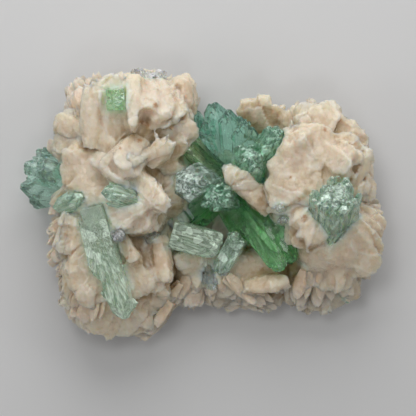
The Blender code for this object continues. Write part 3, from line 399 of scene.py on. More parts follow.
# Plates of a stack, as shares: place of the first and the last through the blade's thickness, chance
# slide of tip and root by the width, of the tip along and out by the length, loss of width, and turn.
STACK_SPAN = (0.30, -0.45)
STACK_TIP_SLIDE = (-0.75, 0.75)
STACK_TIP_REACH = (-0.2, 0.06)
STACK_TIP_RISE = (-0.10, 0.06)
STACK_ROOT_SLIDE = (-0.5, 0.5)
STACK_NARROWING = (-0.04, 0.42)
STACK_TURN = (-16.0, 16.0)
STACK_THICKNESS = (0.42, 0.36)        # of the first plate and of the others, by the blade's
# Shape of a plate: crowding of the stations towards the tip, squareness across, how soon it is full
# thickness, chance unevenness of the width, steps at the end, bend by the length, crown by the width.
STATION_POWER = 1.5
ACROSS_POWER = 0.8
EDGE_STEEPNESS = 5.0
WIDTH_CHANCE = 0.035
STEP_RANGE = (-1.0, 0.25)
STEP_POWER = 6
BEND_RANGE = (-0.10, 0.06)
CROWN_RANGE = (-0.05, 0.12)
EDGE_REACH = 0.9                      # how far the loose edge blades reach past the tips in the tables
RIM_BACK = 2.2                        # how far the skin stays behind the tips of the edge blades
RAGGEDNESS = 2.4                      # facets at the outline are this many times deeper
GLOW_REACH = 1.6                      # distance at which green light from a crystal falls to a third
SOCKET_GAP = 0.12                     # air between a crystal and the stilbite round it
SOCKET_PASSES = 2                     # times that points leave the crystals, which overlap
FACING_VIEWER = 0.3                   # a crystal's side that looks up more than this isn't a way out
FAR = 1000.0                          # longer than any way out
FAN_REACH = 14.0                      # radius at which a facet of a fan is as wide as its size
FACET_SHAPE = np.array((1.0, 2.4, 1.6))   # facet sizes round, out of and up the fan, for a size of 1
FACETS = ((4.2, 0.32), (1.7, 0.10))   # size and depth of the facets of the skins
RIDGE_HEIGHT = 0.3                    # height of a facet's corner that gets the full painted highlight
SHARP_ANGLE = 25.0                    # faces of an edge blade that meet at more degrees are sharp
LOBE_DIVIDE = 12.0                    # lobes left and right of this have their fans facing away
LINE_START = 1.2                      # the lines on a prism start this many lengths behind its root
END_BEVEL = 0.1                       # least step between the sides of a crystal and its flat end
SIDE_LEAST = 0.2                      # least length of a crystal's sides
END_LEAST = 0.03                      # least width of its flat end, as a share of its own
CRYSTAL_RINGS = 3
CRYSTAL_COLUMNS = 8
CRYSTAL_BEVEL = 0.18                  # width of the worn edge of a large crystal
# Smaller crystals grown parallel with a large one: size by their mean, room that they leave at its
# sides, share of them that stand at a side, lean by their length, longer end by the unevenness, start.
GROWN_SIZE = (0.6, 1.35)
GROWN_ROOM = (0.82, 1.0)
GROWN_AT_SIDE = 0.6
GROWN_LEAN = np.array((0.05, 0.05, 0.075))
GROWN_LONGER = 0.35
GROWN_START = (0.02, 0.5)
GROWN_SHOULDER = 0.5                  # how much lower one ends for its distance from the middle
GROWN_POINT = 0.8                     # most of its own point that rises past the large one's end
POINT_CUT = 0.25                      # share of a point that the flat end always cuts off
LUMP_GRID = (28, 40)                  # stations and columns of a lump
LUMP_TINT = 0.5                       # place of a lump between the two colours of blades
SKIN_CELL = 0.42                      # cell size of the remesh that joins plates in one skin
SKIN_SWELL = 1.3                      # most that plates swell before it
LEAST_SKIN = 20.0                     # least volume of a loose part of a lobe
SHRINK_BACK = 0.9                     # share of the swelling that the skin then loses
CLOSING_REACH = 11.0                  # distance inside the outline at which plates swell most
LEAST_CLOSING = 0.2                   # share of the swelling at the outline
# Lobes of the stilbite: name, middle, and the point that the facets fan from. A blade belongs to the
# lobe with the nearest middle.
LOBES = (
    ("stilbite_upper_left", (-20.0, 27.0), (-22.0, 10.0)),
    ("stilbite_middle_left", (-28.0, 4.0), (-14.0, 0.0)),
    ("stilbite_lower_left", (-24.0, -21.0), (-24.0, -6.0)),
    ("stilbite_bridge", (8.0, -15.0), (8.0, 4.0)),
    ("stilbite_upper_right", (36.0, 17.0), (38.0, -1.0)),
    ("stilbite_lower_right", (39.0, -12.0), (38.0, 2.0)),
)

# Stage, in metres: lights with their name, place, size and share of the power.
FLOOR_REACH = 2.0
LIGHT_TARGET = (0.0, 0.0, 0.015)
KEY_LIGHT = ("key", (-0.03, 0.40, 0.28), 0.42, 1.0)
SIDE_LIGHTS = (
    ("left", (-0.52, -0.15, 0.5), 0.24, 0.8),
    ("right", (0.5, 0.1, 0.45), 0.24, 0.6),
    ("overhead", (-0.14, 0.16, 0.78), 0.2, 1.6),
    ("near_side", (0.08, -0.3, 0.85), 0.12, 0.8),
    ("low", (0.41, 0.67, 0.13), 0.2, 0.8),
)
CAMERA_PLACE = (0.00257, -0.0012)
SENSOR_WIDTH = 36.0
FAR_CLIP = 20.0


def unit(vectors):
    """Vectors of length one."""
    return vectors / np.maximum(np.linalg.norm(vectors, axis=-1, keepdims=True), 1e-9)


def own_axes(root, tip, turn):
    """Side, face and length directions of forms that run from root to tip.

    The face looks as far up as the length allows, then turns round the length by turn degrees.
    """
    length = unit(tip - root)
    steep = np.abs(length[..., 2:]) > STEEP
    up = np.where(steep, (0.0, 1.0, 0.0), (0.0, 0.0, 1.0))
    side = unit(np.cross(length, up))
    face = np.cross(side, length)
    spin = np.radians(np.asarray(turn, dtype=float))[..., None]
    turned_side = side * np.cos(spin) - face * np.sin(spin)
    turned_face = face * np.cos(spin) + side * np.sin(spin)
    return turned_side, turned_face, length


def blade_arrays(blades):
    """Root, tip, width, thickness, turn and outline number of a table of blades, as arrays."""
    roots, tips, widths, thicks, turns, outlines = zip(*blades)
    numbers = [OUTLINE_ROW[outline] for outline in outlines]
    return (np.array(roots), np.array(tips), np.array(widths), np.array(thicks, dtype=float),
            np.array(turns, dtype=float), np.array(numbers))


def stack_plates(blades, count, looseness, rng):
    """A stack of count plates for each blade.

    The first plate is the blade's own face. Each other one lies further under it, slid and turned
    by chance amounts in proportion to looseness.
    """
    number = len(blades[0])
    root, tip, width, thick, turn, outline = (np.repeat(part, count, axis=0) for part in blades)
    under = np.tile(np.arange(count) / max(count - 1, 1), number)
    loose = looseness * (under > 0)

    def chance(low, high):
        return rng.uniform(low, high, number * count) * loose

    side, face, length = own_axes(root, tip, turn)
    reach = np.linalg.norm(tip - root, axis=-1)
    first, last = STACK_SPAN
    lift = face * (thick * (first + (last - first) * under))[:, None]
    tip = tip + lift + side * (width * chance(*STACK_TIP_SLIDE))[:, None]
    tip = tip + length * (reach * chance(*STACK_TIP_REACH))[:, None]
    tip = tip + face * (reach * chance(*STACK_TIP_RISE))[:, None]
    root = root + lift + side * (width * chance(*STACK_ROOT_SLIDE))[:, None]
    width = width * (1.0 - chance(*STACK_NARROWING))
    thick = thick * np.where(under > 0, STACK_THICKNESS[1], STACK_THICKNESS[0])
    return root, tip, width, thick, turn + chance(*STACK_TURN), outline


def plate_grid(plates, stations, columns, jag, rng):
    """Closed surfaces of thin rounded plates, one row of the result for each.

    A point is root + length * s + side * half width(s) * across + face * half thickness(s) * through,
    where through is 1 on the flat of the face and falls to 0 at the thin edge. The plate bends along
    its length by a share of s squared, and its end is broken into steps of up to jag.
    """
    root, tip, width, thick, turn, outline = plates
    side, face, length = own_axes(root, tip, turn)
    reach = np.linalg.norm(tip - root, axis=-1)
    s = 1.0 - (1.0 - np.linspace(0.0, 1.0, stations)) ** STATION_POWER
    angle = 2 * math.pi * np.arange(columns) / columns
    across = np.sign(np.cos(angle)) * np.abs(np.cos(angle)) ** ACROSS_POWER
    through = np.sign(np.round(np.sin(angle), 6)) * np.clip((1.0 - np.abs(across)) * EDGE_STEEPNESS, 0.0, 1.0)
    widths = np.stack([np.interp(s, SHARE_ALONG, row) for row in HALF_WIDTHS])[outline]
    widths = widths * (1.0 + rng.uniform(-WIDTH_CHANCE, WIDTH_CHANCE, widths.shape))
    thickness = np.interp(s, SHARE_ALONG, THICKNESS_ALONG)
    mirrored = np.minimum(np.arange(columns), (columns - np.arange(columns)) % columns)
    steps = rng.uniform(*STEP_RANGE, (len(root), columns))[:, mirrored] * jag
    along = s[None, :, None] * reach[:, None, None] + (s[None, :, None] ** STEP_POWER) * steps[:, None, :]
    bend = (rng.uniform(*BEND_RANGE, len(root)) * reach)[:, None, None] * s[None, :, None] ** 2
    crown = (rng.uniform(*CROWN_RANGE, len(root)) * width)[:, None, None] * (1 - across ** 2)
    sideways = (width / 2)[:, None, None] * widths[:, :, None] * across
    outwards = (thick / 2)[:, None, None] * thickness[None, :, None] * through + bend + crown
    points = (root[:, None, None] + length[:, None, None] * along[..., None]
              + side[:, None, None] * sideways[..., None] + face[:, None, None] * outwards[..., None])
    caps = np.stack([points[:, 0].mean(axis=1), points[:, -1].mean(axis=1)], axis=1)
    points = np.concatenate([points.reshape(len(root), -1, 3), caps], axis=1)
    ends = np.broadcast_to((0.0, 1.0), (len(root), 2))
    shares = np.broadcast_to(s[:, None], (len(root), stations, columns)).reshape(len(root), -1)
    crossing = np.broadcast_to(across, (len(root), stations, columns)).reshape(len(root), -1)
    return {
        "points": points,
        "along": np.concatenate([shares, ends], axis=1),
        "across": np.concatenate([crossing, 0.0 * ends], axis=1),
        "tint": np.broadcast_to(rng.uniform(0.0, 1.0, (len(root), 1)), points.shape[:2]),
        "shape": (stations, columns),
    }


def tube_faces(number, stations, columns):
    """Quads and triangles of closed tubes: rings of columns points, then two points that close the ends."""
    ring = np.arange(columns)
    after = (ring + 1) % columns
    low = np.arange(stations - 1)[:, None] * columns
    quads = np.stack([low + ring, low + after, low + after + columns, low + ring + columns], axis=-1)
    last = (stations - 1) * columns
    first_cap = np.stack([after, ring, np.full(columns, last + columns)], axis=-1)
    last_cap = np.stack([last + ring, last + after, np.full(columns, last + columns + 1)], axis=-1)
    caps = np.concatenate([first_cap, last_cap])
    start = np.arange(number)[:, None, None] * (stations * columns + 2)
    return (quads.reshape(1, -1, 4) + start).reshape(-1, 4), (caps[None] + start).reshape(-1, 3)


def closing(points):
    """How far plates swell at a place, which closes the gaps between them: little near the outline."""
    tips = [tip[:2] for stretch, _ in RIM_STRETCHES for tip in stretch]
    away = np.min([np.hypot(*(points[:, :2] - tip).T) for tip in tips], axis=0)
    return SKIN_SWELL * np.clip(away / CLOSING_REACH, LEAST_CLOSING, 1.0)


def blade_form(blades, make_up, swell=False):
    """Plates of a set of blades, each blade a stack of plates; one row of each array for a plate."""
    plates, stations, columns, looseness, jag, seed = make_up
    rng = np.random.default_rng(seed)
    root, tip, width, thick, turn, outline = stack_plates(blade_arrays(blades), plates, looseness, rng)
    if swell:
        extra = closing(tip)
        tip = tip + unit(tip - root) * extra[:, None]
        width = width + 2 * extra
        thick = thick + 2 * extra
    return plate_grid((root, tip, width, thick, turn, outline), stations, columns, jag, rng)


def rim_blade(tip, width, row, share, back, rng):
    """A blade of one row at the edge, which points out of the nearest middle."""
    inset, lowest, highest, length = row
    tip = np.array(tip) + rng.uniform(-RIM_SLIDE, RIM_SLIDE, 2) * (inset > 0.0)
    away = (tip - RIM_MIDDLES) / RIM_REACH
    inwards = unit(RIM_MIDDLES[np.argmin(np.hypot(*away.T))] - tip)
    tip = tip + inwards * (inset + back)
    root = tip + inwards * length
    height = rng.uniform(lowest, highest) * share
    root_height = height + rng.uniform(*RIM_ROOT_RISE)
    turn = rng.uniform(-RIM_TURN, RIM_TURN)
    width = width * rng.uniform(*RIM_WIDTH)
    outline = RIM_OUTLINES[rng.integers(len(RIM_OUTLINES))]
    return (*root, root_height), (*tip, height), width, rng.uniform(*RIM_THICKNESS), turn, outline


def rim_blades(back):
    """Rows of blades round the edge, whose tips lie back by a length from those in the tables."""
    rng = np.random.default_rng(RIM_SEED)
    return [rim_blade((x, y), width, row, share, back, rng)
            for stretch, share in RIM_STRETCHES
            for x, y, width in stretch
            for row in RIM_ROWS]


def lump_points(middle, half_sizes, stations, columns):
    """A superellipsoid: middle + half size * (cos a cos b, cos a sin b, sin a), squared off.

    The second array of the result holds the directions out of its middle.
    """
    a = np.linspace(-math.pi / 2, math.pi / 2, stations)[:, None]
    b = (2 * math.pi * np.arange(columns) / columns)[None, :]
    ball = np.stack([np.cos(a) * np.cos(b), np.cos(a) * np.sin(b), np.sin(a) + 0.0 * b], axis=-1)
    power = (np.abs(ball) ** LUMP_BOXINESS).sum(axis=-1, keepdims=True) ** (-1.0 / LUMP_BOXINESS)
    return np.array(middle) + ball * power * (np.array(half_sizes) - LUMP_INSET), ball * power


def sunk(blades):
    """Blades with their roots as deep as the solids have them."""
    return [(np.array(root) - (0.0, 0.0, ROOT_SINK), *rest) for root, *rest in blades]


def room_distances(points, crystal, gap):
    """Where points are beside a crystal with a gap round it.

    The result: how far each point is inside the four sides and the pyramid, the directions of these,
    which points are inside all of them, and how far each is outside.
    """
    root, tip, width, depth, turn, cut = crystal
    root = np.array(root)
    tip = np.array(tip)
    side, face, length = own_axes(root, tip, turn)
    half = width / 2
    squash = depth / width
    apex = np.linalg.norm(tip - root) + PYRAMID_RISE * half * cut
    u, v, w = ((points - root) @ axis for axis in (side, face, length))
    roof = np.minimum(np.linalg.norm(tip - root), apex - PYRAMID_RISE * (np.abs(u) + np.abs(v) / squash))
    depths = np.stack([half - u, half + u, half * squash - v, half * squash + v, roof - w], axis=-1) + gap
    ways = np.stack([side, -side, face, -face, length])
    inside = (depths > 0.0).all(axis=-1) & (w > 0.0)
    return depths, ways, inside, np.maximum(-depths.min(axis=-1), -w)


def clear_of_crystals(points):
    """Points inside a crystal leave it by its nearest side that doesn't look at the viewer.

    The second array of the result is exp(-distance to the nearest crystal / GLOW_REACH).
    """
    points = points.copy()
    near = np.full(len(points), np.inf)
    for crystal in ALL_CRYSTALS * SOCKET_PASSES:
        depths, ways, inside, outside = room_distances(points, crystal, SOCKET_GAP)
        near = np.minimum(near, outside)
        cost = depths[inside] + FAR * (ways[:, 2] > FACING_VIEWER)
        nearest = np.argmin(cost, axis=-1)
        way_out = np.take_along_axis(depths[inside], nearest[:, None], axis=-1)
        points[inside] += ways[nearest] * way_out
    return points, np.exp(-np.maximum(near, 0.0) / GLOW_REACH)


def outward_ways(points):
    """Directions away from the nearest middle of the specimen, leaning towards the viewer."""
    middles = np.column_stack([RIM_MIDDLES, MIDDLE_HEIGHTS])
    offsets = points[:, None] - middles[None]
    nearest = np.argmin(np.linalg.norm(offsets[..., :2], axis=-1), axis=1)
    ways = offsets[np.arange(len(points)), nearest] * (SIDE_SHARE, SIDE_SHARE, 1.0)
    return unit(ways + (0.0, 0.0, VIEWER_SHARE))


def fan_facets(points, middle, size, deep, rng):
    """Height of flat facets that fan out from a middle, each tilted its own way.

    Cells lie in the space of (angle * FAN_REACH, distance, height) / (FACET_SHAPE * size), each round
    a chance point, and the height is deep * (place - nearest chance point) . (tilt of that cell).
    """
    away = points[:, :2] - middle
    angle = np.arctan2(away[:, 1], -away[:, 0] * np.sign(middle[0] - LOBE_DIVIDE))
    place = np.stack([angle * FAN_REACH, np.hypot(*away.T), points[:, 2]], axis=-1)
    place = place / (FACET_SHAPE * size)
    cell = np.floor(place).astype(int)
    low = cell.min(axis=0) - 1
    shape = cell.max(axis=0) - low + 2
    jitter = rng.uniform(0.0, 1.0, (*shape, 3))
    tilt = rng.normal(size=(*shape, 3))
    best = np.full(len(points), np.inf)
    height = np.zeros(len(points))
    for step in itertools.product((-1, 0, 1), repeat=3):
        near = cell + step
        where = tuple((near - low).T)
        offset = place - near - jitter[where]
        distance = (offset ** 2).sum(axis=1)
        closer = distance < best
        best = np.where(closer, distance, best)
        height = np.where(closer, (offset * tilt[where]).sum(axis=1), height)
    return height * deep


def crowding(points, grid, low):
    """How packed the stilbite is outside each point, from 0 in the open to 1 in a closed hollow.

    The sum of share * packed(point + way out * reach) over the distances of CROWD_REACHES.
    """
    total = 0.0
    ways = outward_ways(points)
    for reach, share in CROWD_REACHES:
        cells = np.floor((points + ways * reach - low) / CROWD_CELL).astype(int)
        cells = np.clip(cells, 0, np.array(grid.shape) - 1)
        total = total + share * grid[tuple(cells.T)]
    return np.clip(total, 0.0, 1.0)


def crowd_grid(clouds):
    """Grid of cells that says what share of the cells round each one holds stilbite."""
    points = np.concatenate(clouds)
    low = points.min(axis=0) - 3 * CROWD_CELL
    cells = np.floor((points - low) / CROWD_CELL).astype(int)
    grid = np.zeros(cells.max(axis=0) + 4)
    grid[tuple(cells.T)] = 1.0
    for axis in range(3):
        grid = (np.roll(grid, 1, axis) + grid + np.roll(grid, -1, axis)) / 3.0
    return grid, low


def rust(points):
    """Strength of the brown stains: bell curves round their middles on the display side."""
    x, y, radius, strength = RUST_SPOTS.T
    away = np.hypot(points[:, None, 0] - x, points[:, None, 1] - y)
    return np.clip((strength * np.exp(-(away / radius) ** 2)).sum(axis=-1), 0.0, 1.0)


def body_form():
    """The lumps under the blades, each a closed superellipsoid."""
    clouds = []
    for middle, half_sizes in CORE_LUMPS:
        points, ways = (part.reshape(-1, 3) for part in lump_points(middle, half_sizes, *LUMP_GRID))
        points = points + ways * closing(points)[:, None]
        clouds.append(np.concatenate([points, points[[0, -1]]]))
    points = np.stack(clouds)
    zero = points[..., 0] * 0.0
    return {"points": points, "along": zero, "across": zero, "tint": zero + LUMP_TINT, "shape": LUMP_GRID}


@functools.cache
def stilbite_forms():
    """All swollen plates and lumps that the skins go round, in millimetres."""
    display = (*sunk(LEFT_BLADES), *sunk(MIDDLE_BLADES), *sunk(RIGHT_BLADES), *SMOOTH_PLATES)
    return (
        body_form(),
        blade_form(display, DISPLAY_MAKE_UP, swell=True),
        blade_form(rim_blades(RIM_BACK), RIM_MAKE_UP, swell=True),
    )


@functools.cache
def stilbite_crowd():
    """The grid of cells that the stilbite fills."""
    return crowd_grid([form["points"].reshape(-1, 3) for form in stilbite_forms()])


def blade_values(form, chosen):
    """Four numbers for each point of chosen plates: place along, place across, tint of the plate, 1."""
    along, across, tint = (form[value][chosen].ravel() for value in ("along", "across", "tint"))
    return np.stack([along, across * 0.5 + 0.5, tint, np.ones(len(tint))], axis=-1)


def lobe_arrays(number):
    """Points, blade values, quads and triangles of the plates and lumps nearest one lobe's middle."""
    middles = np.array([middle for _, middle, _ in LOBES])
    lists = ([], [], [], [])
    start = 0
    for form in stilbite_forms():
        centres = form["points"].mean(axis=1)[:, None, :2]
        mine = np.argmin(np.linalg.norm(centres - middles, axis=-1), axis=1) == number
        if not mine.any():
            continue
        points = form["points"][mine]
        quads, triangles = tube_faces(len(points), *form["shape"])
        found = (points.reshape(-1, 3), blade_values(form, mine), quads + start, triangles + start)
        for whole, part in zip(lists, found):
            whole.append(part)
        start += points.shape[0] * points.shape[1]
    return [np.concatenate(whole) for whole in lists]


def evaluated_mesh(obj):
    """The mesh of an object after its modifiers, which is then removed."""
    bpy.context.view_layer.update()
    ready = obj.evaluated_get(bpy.context.evaluated_depsgraph_get())
    mesh = bpy.data.meshes.new_from_object(ready)
    bpy.data.objects.remove(obj, do_unlink=True)
    return mesh


def mesh_arrays(mesh):
    """Points in millimetres, their normals, and corner numbers of a mesh made of quads."""
    points = np.empty(len(mesh.vertices) * 3, dtype=np.float32)
    mesh.vertices.foreach_get("co", points)
    normals = np.empty(len(mesh.vertices) * 3, dtype=np.float32)
    mesh.vertex_normals.foreach_get("vector", normals)
    corners = np.empty(len(mesh.loops), dtype=np.int32)
    mesh.loops.foreach_get("vertex_index", corners)
    points = points.reshape(-1, 3).astype(float) / MM - CENTRING
    return points, normals.reshape(-1, 3).astype(float), corners.reshape(-1, 4)


def outer_skins(points, quads):
    """The skins round at least LEAST_SKIN of stone, without pockets, which have a volume below zero.

    Every point takes the lowest number that it can reach along the edges, and the volume of a skin is
    the sum of corner . (second corner x third corner) / 6 over its triangles.
    """
    label = np.arange(len(points))
    ends = np.concatenate([quads[:, [0, 1]], quads[:, [1, 2]], quads[:, [2, 3]], quads[:, [3, 0]]])
    while True:
        lowest = label[ends].min(axis=1)
        before = label.copy()
        np.minimum.at(label, ends[:, 0], lowest)
        np.minimum.at(label, ends[:, 1], lowest)
        label = label[label]
        if (label == before).all():
            break
    first, second, third, fourth = (points[quads[:, corner]] for corner in range(4))
    volume = (first * (np.cross(second, third) + np.cross(third, fourth))).sum(axis=1) / 6
    kept = np.bincount(label[quads[:, 0]], volume, len(points))[label] > LEAST_SKIN
    number = np.cumsum(kept) - 1
    return points[kept], number[quads[kept[quads[:, 0]]]]


def linked_object(name, data):
    """An object in the scene for a mesh, a light or a camera."""
    obj = bpy.data.objects.new(name, data)
    bpy.context.scene.collection.objects.link(obj)
    return obj


def remeshed(points, quads, triangles):
    """Points, normals and quads of the skin round closed surfaces, by a voxel remesh."""
    loose = linked_object("loose", new_mesh("loose", points, quads, triangles))
    remesh = loose.modifiers.new("skin", "REMESH")
    remesh.mode = "VOXEL"
    remesh.voxel_size = SKIN_CELL * MM
    return mesh_arrays(evaluated_mesh(loose))


def lobe_skin(name, number):
    """One skin round all plates and lumps of a lobe: swollen, joined and shrunk back."""
    points, blade, quads, triangles = lobe_arrays(number)
    points[:, 2] = np.maximum(points[:, 2], -SKIN_SWELL)
    source = linked_object("plates", new_mesh("plates", points, quads, triangles))
    add_colour(source.data, "blade", blade)
    no_triangles = np.empty((0, 3), dtype=int)
    points, normals, quads = remeshed(points, quads, triangles)
    points = points - normals * SHRINK_BACK * closing(points)[:, None]
    points, _, quads = remeshed(points, quads, no_triangles)
    points, quads = outer_skins(points, quads)
    skin = linked_object(name, new_mesh(name, points, quads, no_triangles))
    add_colour(skin.data, "blade", np.ones((len(points), 4)))
    transfer = skin.modifiers.new("values", "DATA_TRANSFER")
    transfer.object = source
    transfer.use_vert_data = True
    transfer.data_types_verts = {"COLOR_VERTEX"}
    transfer.vert_mapping = "POLYINTERP_NEAREST"
    transfer.layers_vcol_vert_select_src = "ALL"
    transfer.layers_vcol_vert_select_dst = "NAME"
    mesh = evaluated_mesh(skin)
    bpy.data.objects.remove(source, do_unlink=True)
    return mesh


def new_mesh(name, points, quads, triangles):
    """Mesh from points in millimetres and two arrays of corner numbers."""
    mesh = bpy.data.meshes.new(name)
    corners = np.concatenate([quads.ravel(), triangles.ravel()]).astype(np.int32)
    starts = np.concatenate([np.arange(len(quads)) * 4, quads.size + np.arange(len(triangles)) * 3])
    mesh.vertices.add(len(points))
    mesh.vertices.foreach_set("co", ((points + CENTRING) * MM).astype(np.float32).ravel())
    mesh.loops.add(len(corners))
    mesh.loops.foreach_set("vertex_index", corners)
    mesh.polygons.add(len(starts))
    mesh.polygons.foreach_set("loop_start", starts.astype(np.int32))
    mesh.update(calc_edges=True)
    mesh.validate()
    return mesh


def add_colour(mesh, name, values):
    """Store four numbers for each point under a name, as a colour."""
    attribute = mesh.color_attributes.new(name=name, type="FLOAT_COLOR", domain="POINT")
    attribute.data.foreach_set("color", np.ascontiguousarray(values, dtype=np.float32).ravel())


def add_value(mesh, name, values):
    """Store one number for each point under a name that a finish can read."""
    attribute = mesh.attributes.new(name, "FLOAT", "POINT")
    attribute.data.foreach_set("value", np.ascontiguousarray(values, dtype=np.float32))


def add_piece(name, mesh, material, node):
    """Put a finished mesh in the scene as a piece that stands for a CAD node."""
    piece = linked_object(name, mesh)
    mesh.materials.clear()
    mesh.materials.append(material)
    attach(piece, "root")
    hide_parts(node)


def add_surroundings(mesh, points, near):
    """Store how deep in a hollow, for painted shade, how near a crystal, for painted green light, and how
    stained each point is.
    """
    add_value(mesh, "hollow", crowding(points, *stilbite_crowd()) * (1.0 - near))
    add_value(mesh, "painted_glow", near)
    add_value(mesh, "rust", rust(points))


def add_stilbite(number):
    """One lobe of stilbite."""
    name, _, fan_middle = LOBES[number]
    mesh = lobe_skin(name, number)
    points, normals, _ = mesh_arrays(mesh)
    rng = np.random.default_rng(number)
    heights = sum(fan_facets(points, fan_middle, size, deep, rng) for size, deep in FACETS)
    ragged = RAGGEDNESS - (RAGGEDNESS - 1.0) * closing(points) / SKIN_SWELL
    points, near = clear_of_crystals(points + normals * (heights * ragged)[:, None])
    points[:, 2] = np.maximum(points[:, 2], 0.0)
    mesh.vertices.foreach_set("co", ((points + CENTRING) * MM).astype(np.float32).ravel())
    add_surroundings(mesh, points, near)
    # Painted highlight: facet corners that stand out are made pale.
    add_value(mesh, "ridge", heights / RIDGE_HEIGHT)
    mesh.update()
    mesh.shade_smooth()
    add_piece(name, mesh, stilbite_finish("mass"), "stilbite_matrix")


def add_edge_blades():
    """The thin blades round the edge, which stay loose and sharp."""
    form = blade_form(rim_blades(-EDGE_REACH), LOOSE_MAKE_UP)
    points, near = clear_of_crystals(form["points"].reshape(-1, 3))
    points[:, 2] = np.maximum(points[:, 2], GROUND)
    quads, triangles = tube_faces(len(form["points"]), *form["shape"])
    mesh = new_mesh("stilbite_edge_blades", points, quads, triangles)
    add_colour(mesh, "blade", blade_values(form, slice(None)))
    add_surroundings(mesh, points, near)
    mesh.shade_smooth()
    mesh.set_sharp_from_angle(angle=math.radians(SHARP_ANGLE))
    add_piece("stilbite_edge_blades", mesh, stilbite_finish("edge"), "stilbite_matrix")


def leaning_axes(root, tip, turn, lean):
    """Side, face and length directions of a crystal that leans by three small shares of its length."""
    side, face, length = own_axes(root, tip, turn)
    length = unit(length + side * lean[0] + face * lean[1])
    side = unit(np.cross(face, length) + face * lean[2])
    return side, np.cross(length, side), length


def crystal_ends(full_end, width, cut, place, size, end):
    """How far along a crystal its apex and its flat end lie."""
    half = width / 2 * size
    apex = full_end + PYRAMID_RISE * width / 2 * cut
    if size < 1.0:
        shift = (np.abs(place[0]) + np.abs(place[1])) * width / 2
        shoulder = apex - PYRAMID_RISE * shift * GROWN_SHOULDER
        apex = min(shoulder, full_end + PYRAMID_RISE * half * GROWN_POINT)
    flat_end = min(full_end, apex - PYRAMID_RISE * half * POINT_CUT) + end
    return apex + end, flat_end


def crystal_hull(root, tip, width, depth, turn, cut,
                 start=0.0, place=(0.0, 0.0), size=1.0, end=0.0, lean=(0.0, 0.0, 0.0)):
    """Corner points of a crystal, or of a smaller one grown parallel with it.

    Eight columns run up the corners and the middles of the sides. The prism ends on a zigzag, where
    length = apex - rise * (across + through), and the point is cut off flat on a diamond. A smaller
    crystal starts a share up the large one, stands at a place in its section, has a size as a share
    of it, ends by end past the large one's shape, and leans.
    """
    root = np.array(root)
    tip = np.array(tip)
    side, face, length = leaning_axes(root, tip, turn, lean)
    squash = depth / width
    half = width / 2 * size
    full_end = np.linalg.norm(tip - root)
    apex, flat_end = crystal_ends(full_end, width, cut, place, size, end)
    angle = 2 * math.pi / CRYSTAL_COLUMNS * (np.arange(CRYSTAL_COLUMNS) + 1)
    across = np.round(np.cos(angle) * math.sqrt(2.0)).clip(-1.0, 1.0)
    through = np.round(np.sin(angle) * math.sqrt(2.0)).clip(-1.0, 1.0)
    off_middle = np.abs(across) + np.abs(through)
    zigzag = np.maximum(apex - PYRAMID_RISE * half * off_middle, start * full_end + SIDE_LEAST)
    zigzag = np.minimum(zigzag, flat_end - END_BEVEL)
    flat = np.clip((apex - flat_end) / PYRAMID_RISE / off_middle, END_LEAST * half, half)
    rings = (
        (half, np.full(CRYSTAL_COLUMNS, start * full_end)),
        (half, zigzag),
        (flat, np.full(CRYSTAL_COLUMNS, flat_end)),
    )
    middle_u = place[0] * width / 2
    middle_v = place[1] * width / 2 * squash
    points = []
    for reach, height in rings:
        u = (middle_u + across * reach)[:, None]
        v = (middle_v + through * reach * squash)[:, None]
        points.append(root + side * u + face * v + length * height[:, None])
    caps = np.stack([points[0].mean(axis=0), points[-1].mean(axis=0)])
    return np.concatenate([*points, caps])


def grown_hulls(crystals, number, share, uneven, rng):
    """Each crystal with the smaller ones grown parallel with it, which break up its faces and end."""
    hulls = []
    for crystal in crystals:
        hulls.append(crystal_hull(*crystal))
        for _ in range(number):
            size = share * rng.uniform(*GROWN_SIZE)
            room = 1.0 - size * rng.uniform(*GROWN_ROOM)
            place = rng.uniform(-1.0, 1.0, 2)
            if rng.uniform() < GROWN_AT_SIDE:
                place[rng.integers(2)] = rng.choice((-1.0, 1.0))
            place = place * room
            end = rng.uniform(-uneven, GROWN_LONGER * uneven)
            lean = rng.normal(size=3) * GROWN_LEAN
            start = rng.uniform(*GROWN_START)
            hulls.append(crystal_hull(*crystal, start, place, size, end, lean))
    return hulls


def hull_mesh(name, hull):
    """Mesh of one crystal from its corner points."""
    return new_mesh(name, hull, *tube_faces(1, CRYSTAL_RINGS, CRYSTAL_COLUMNS))


def joined_mesh(name, hulls):
    """All crystals of a piece in one skin: the first with worn edges, and the others joined to it."""
    group = bpy.data.collections.new("growth")
    bpy.context.scene.collection.children.link(group)
    for number, hull in enumerate(hulls[1:]):
        part_name = f"growth_{number}"
        group.objects.link(bpy.data.objects.new(part_name, hull_mesh(part_name, hull)))
    base = linked_object(name, hull_mesh(name, hulls[0]))
    bevel = base.modifiers.new("worn edges", "BEVEL")
    bevel.width = CRYSTAL_BEVEL * MM
    bevel.segments = 1
    if len(hulls) > 1:
        union = base.modifiers.new("union", "BOOLEAN")
        union.operation = "UNION"
        union.operand_type = "COLLECTION"
        union.collection = group
        union.solver = "EXACT"
    mesh = evaluated_mesh(base)
    mesh.name = name
    for part in list(group.objects):
        bpy.data.objects.remove(part, do_unlink=True)
    bpy.data.collections.remove(group)
    return mesh


def add_crystal_piece(name, node, crystals, finish, number, share, uneven):
    """One piece of apophyllite."""
    rng = np.random.default_rng(sum(map(ord, name)))
    mesh = joined_mesh(name, grown_hulls(crystals, number, share, uneven, rng))
    mesh.shade_flat()
    material = apophyllite_finish(name, finish, crystals)
    add_piece(name, mesh, material, node)


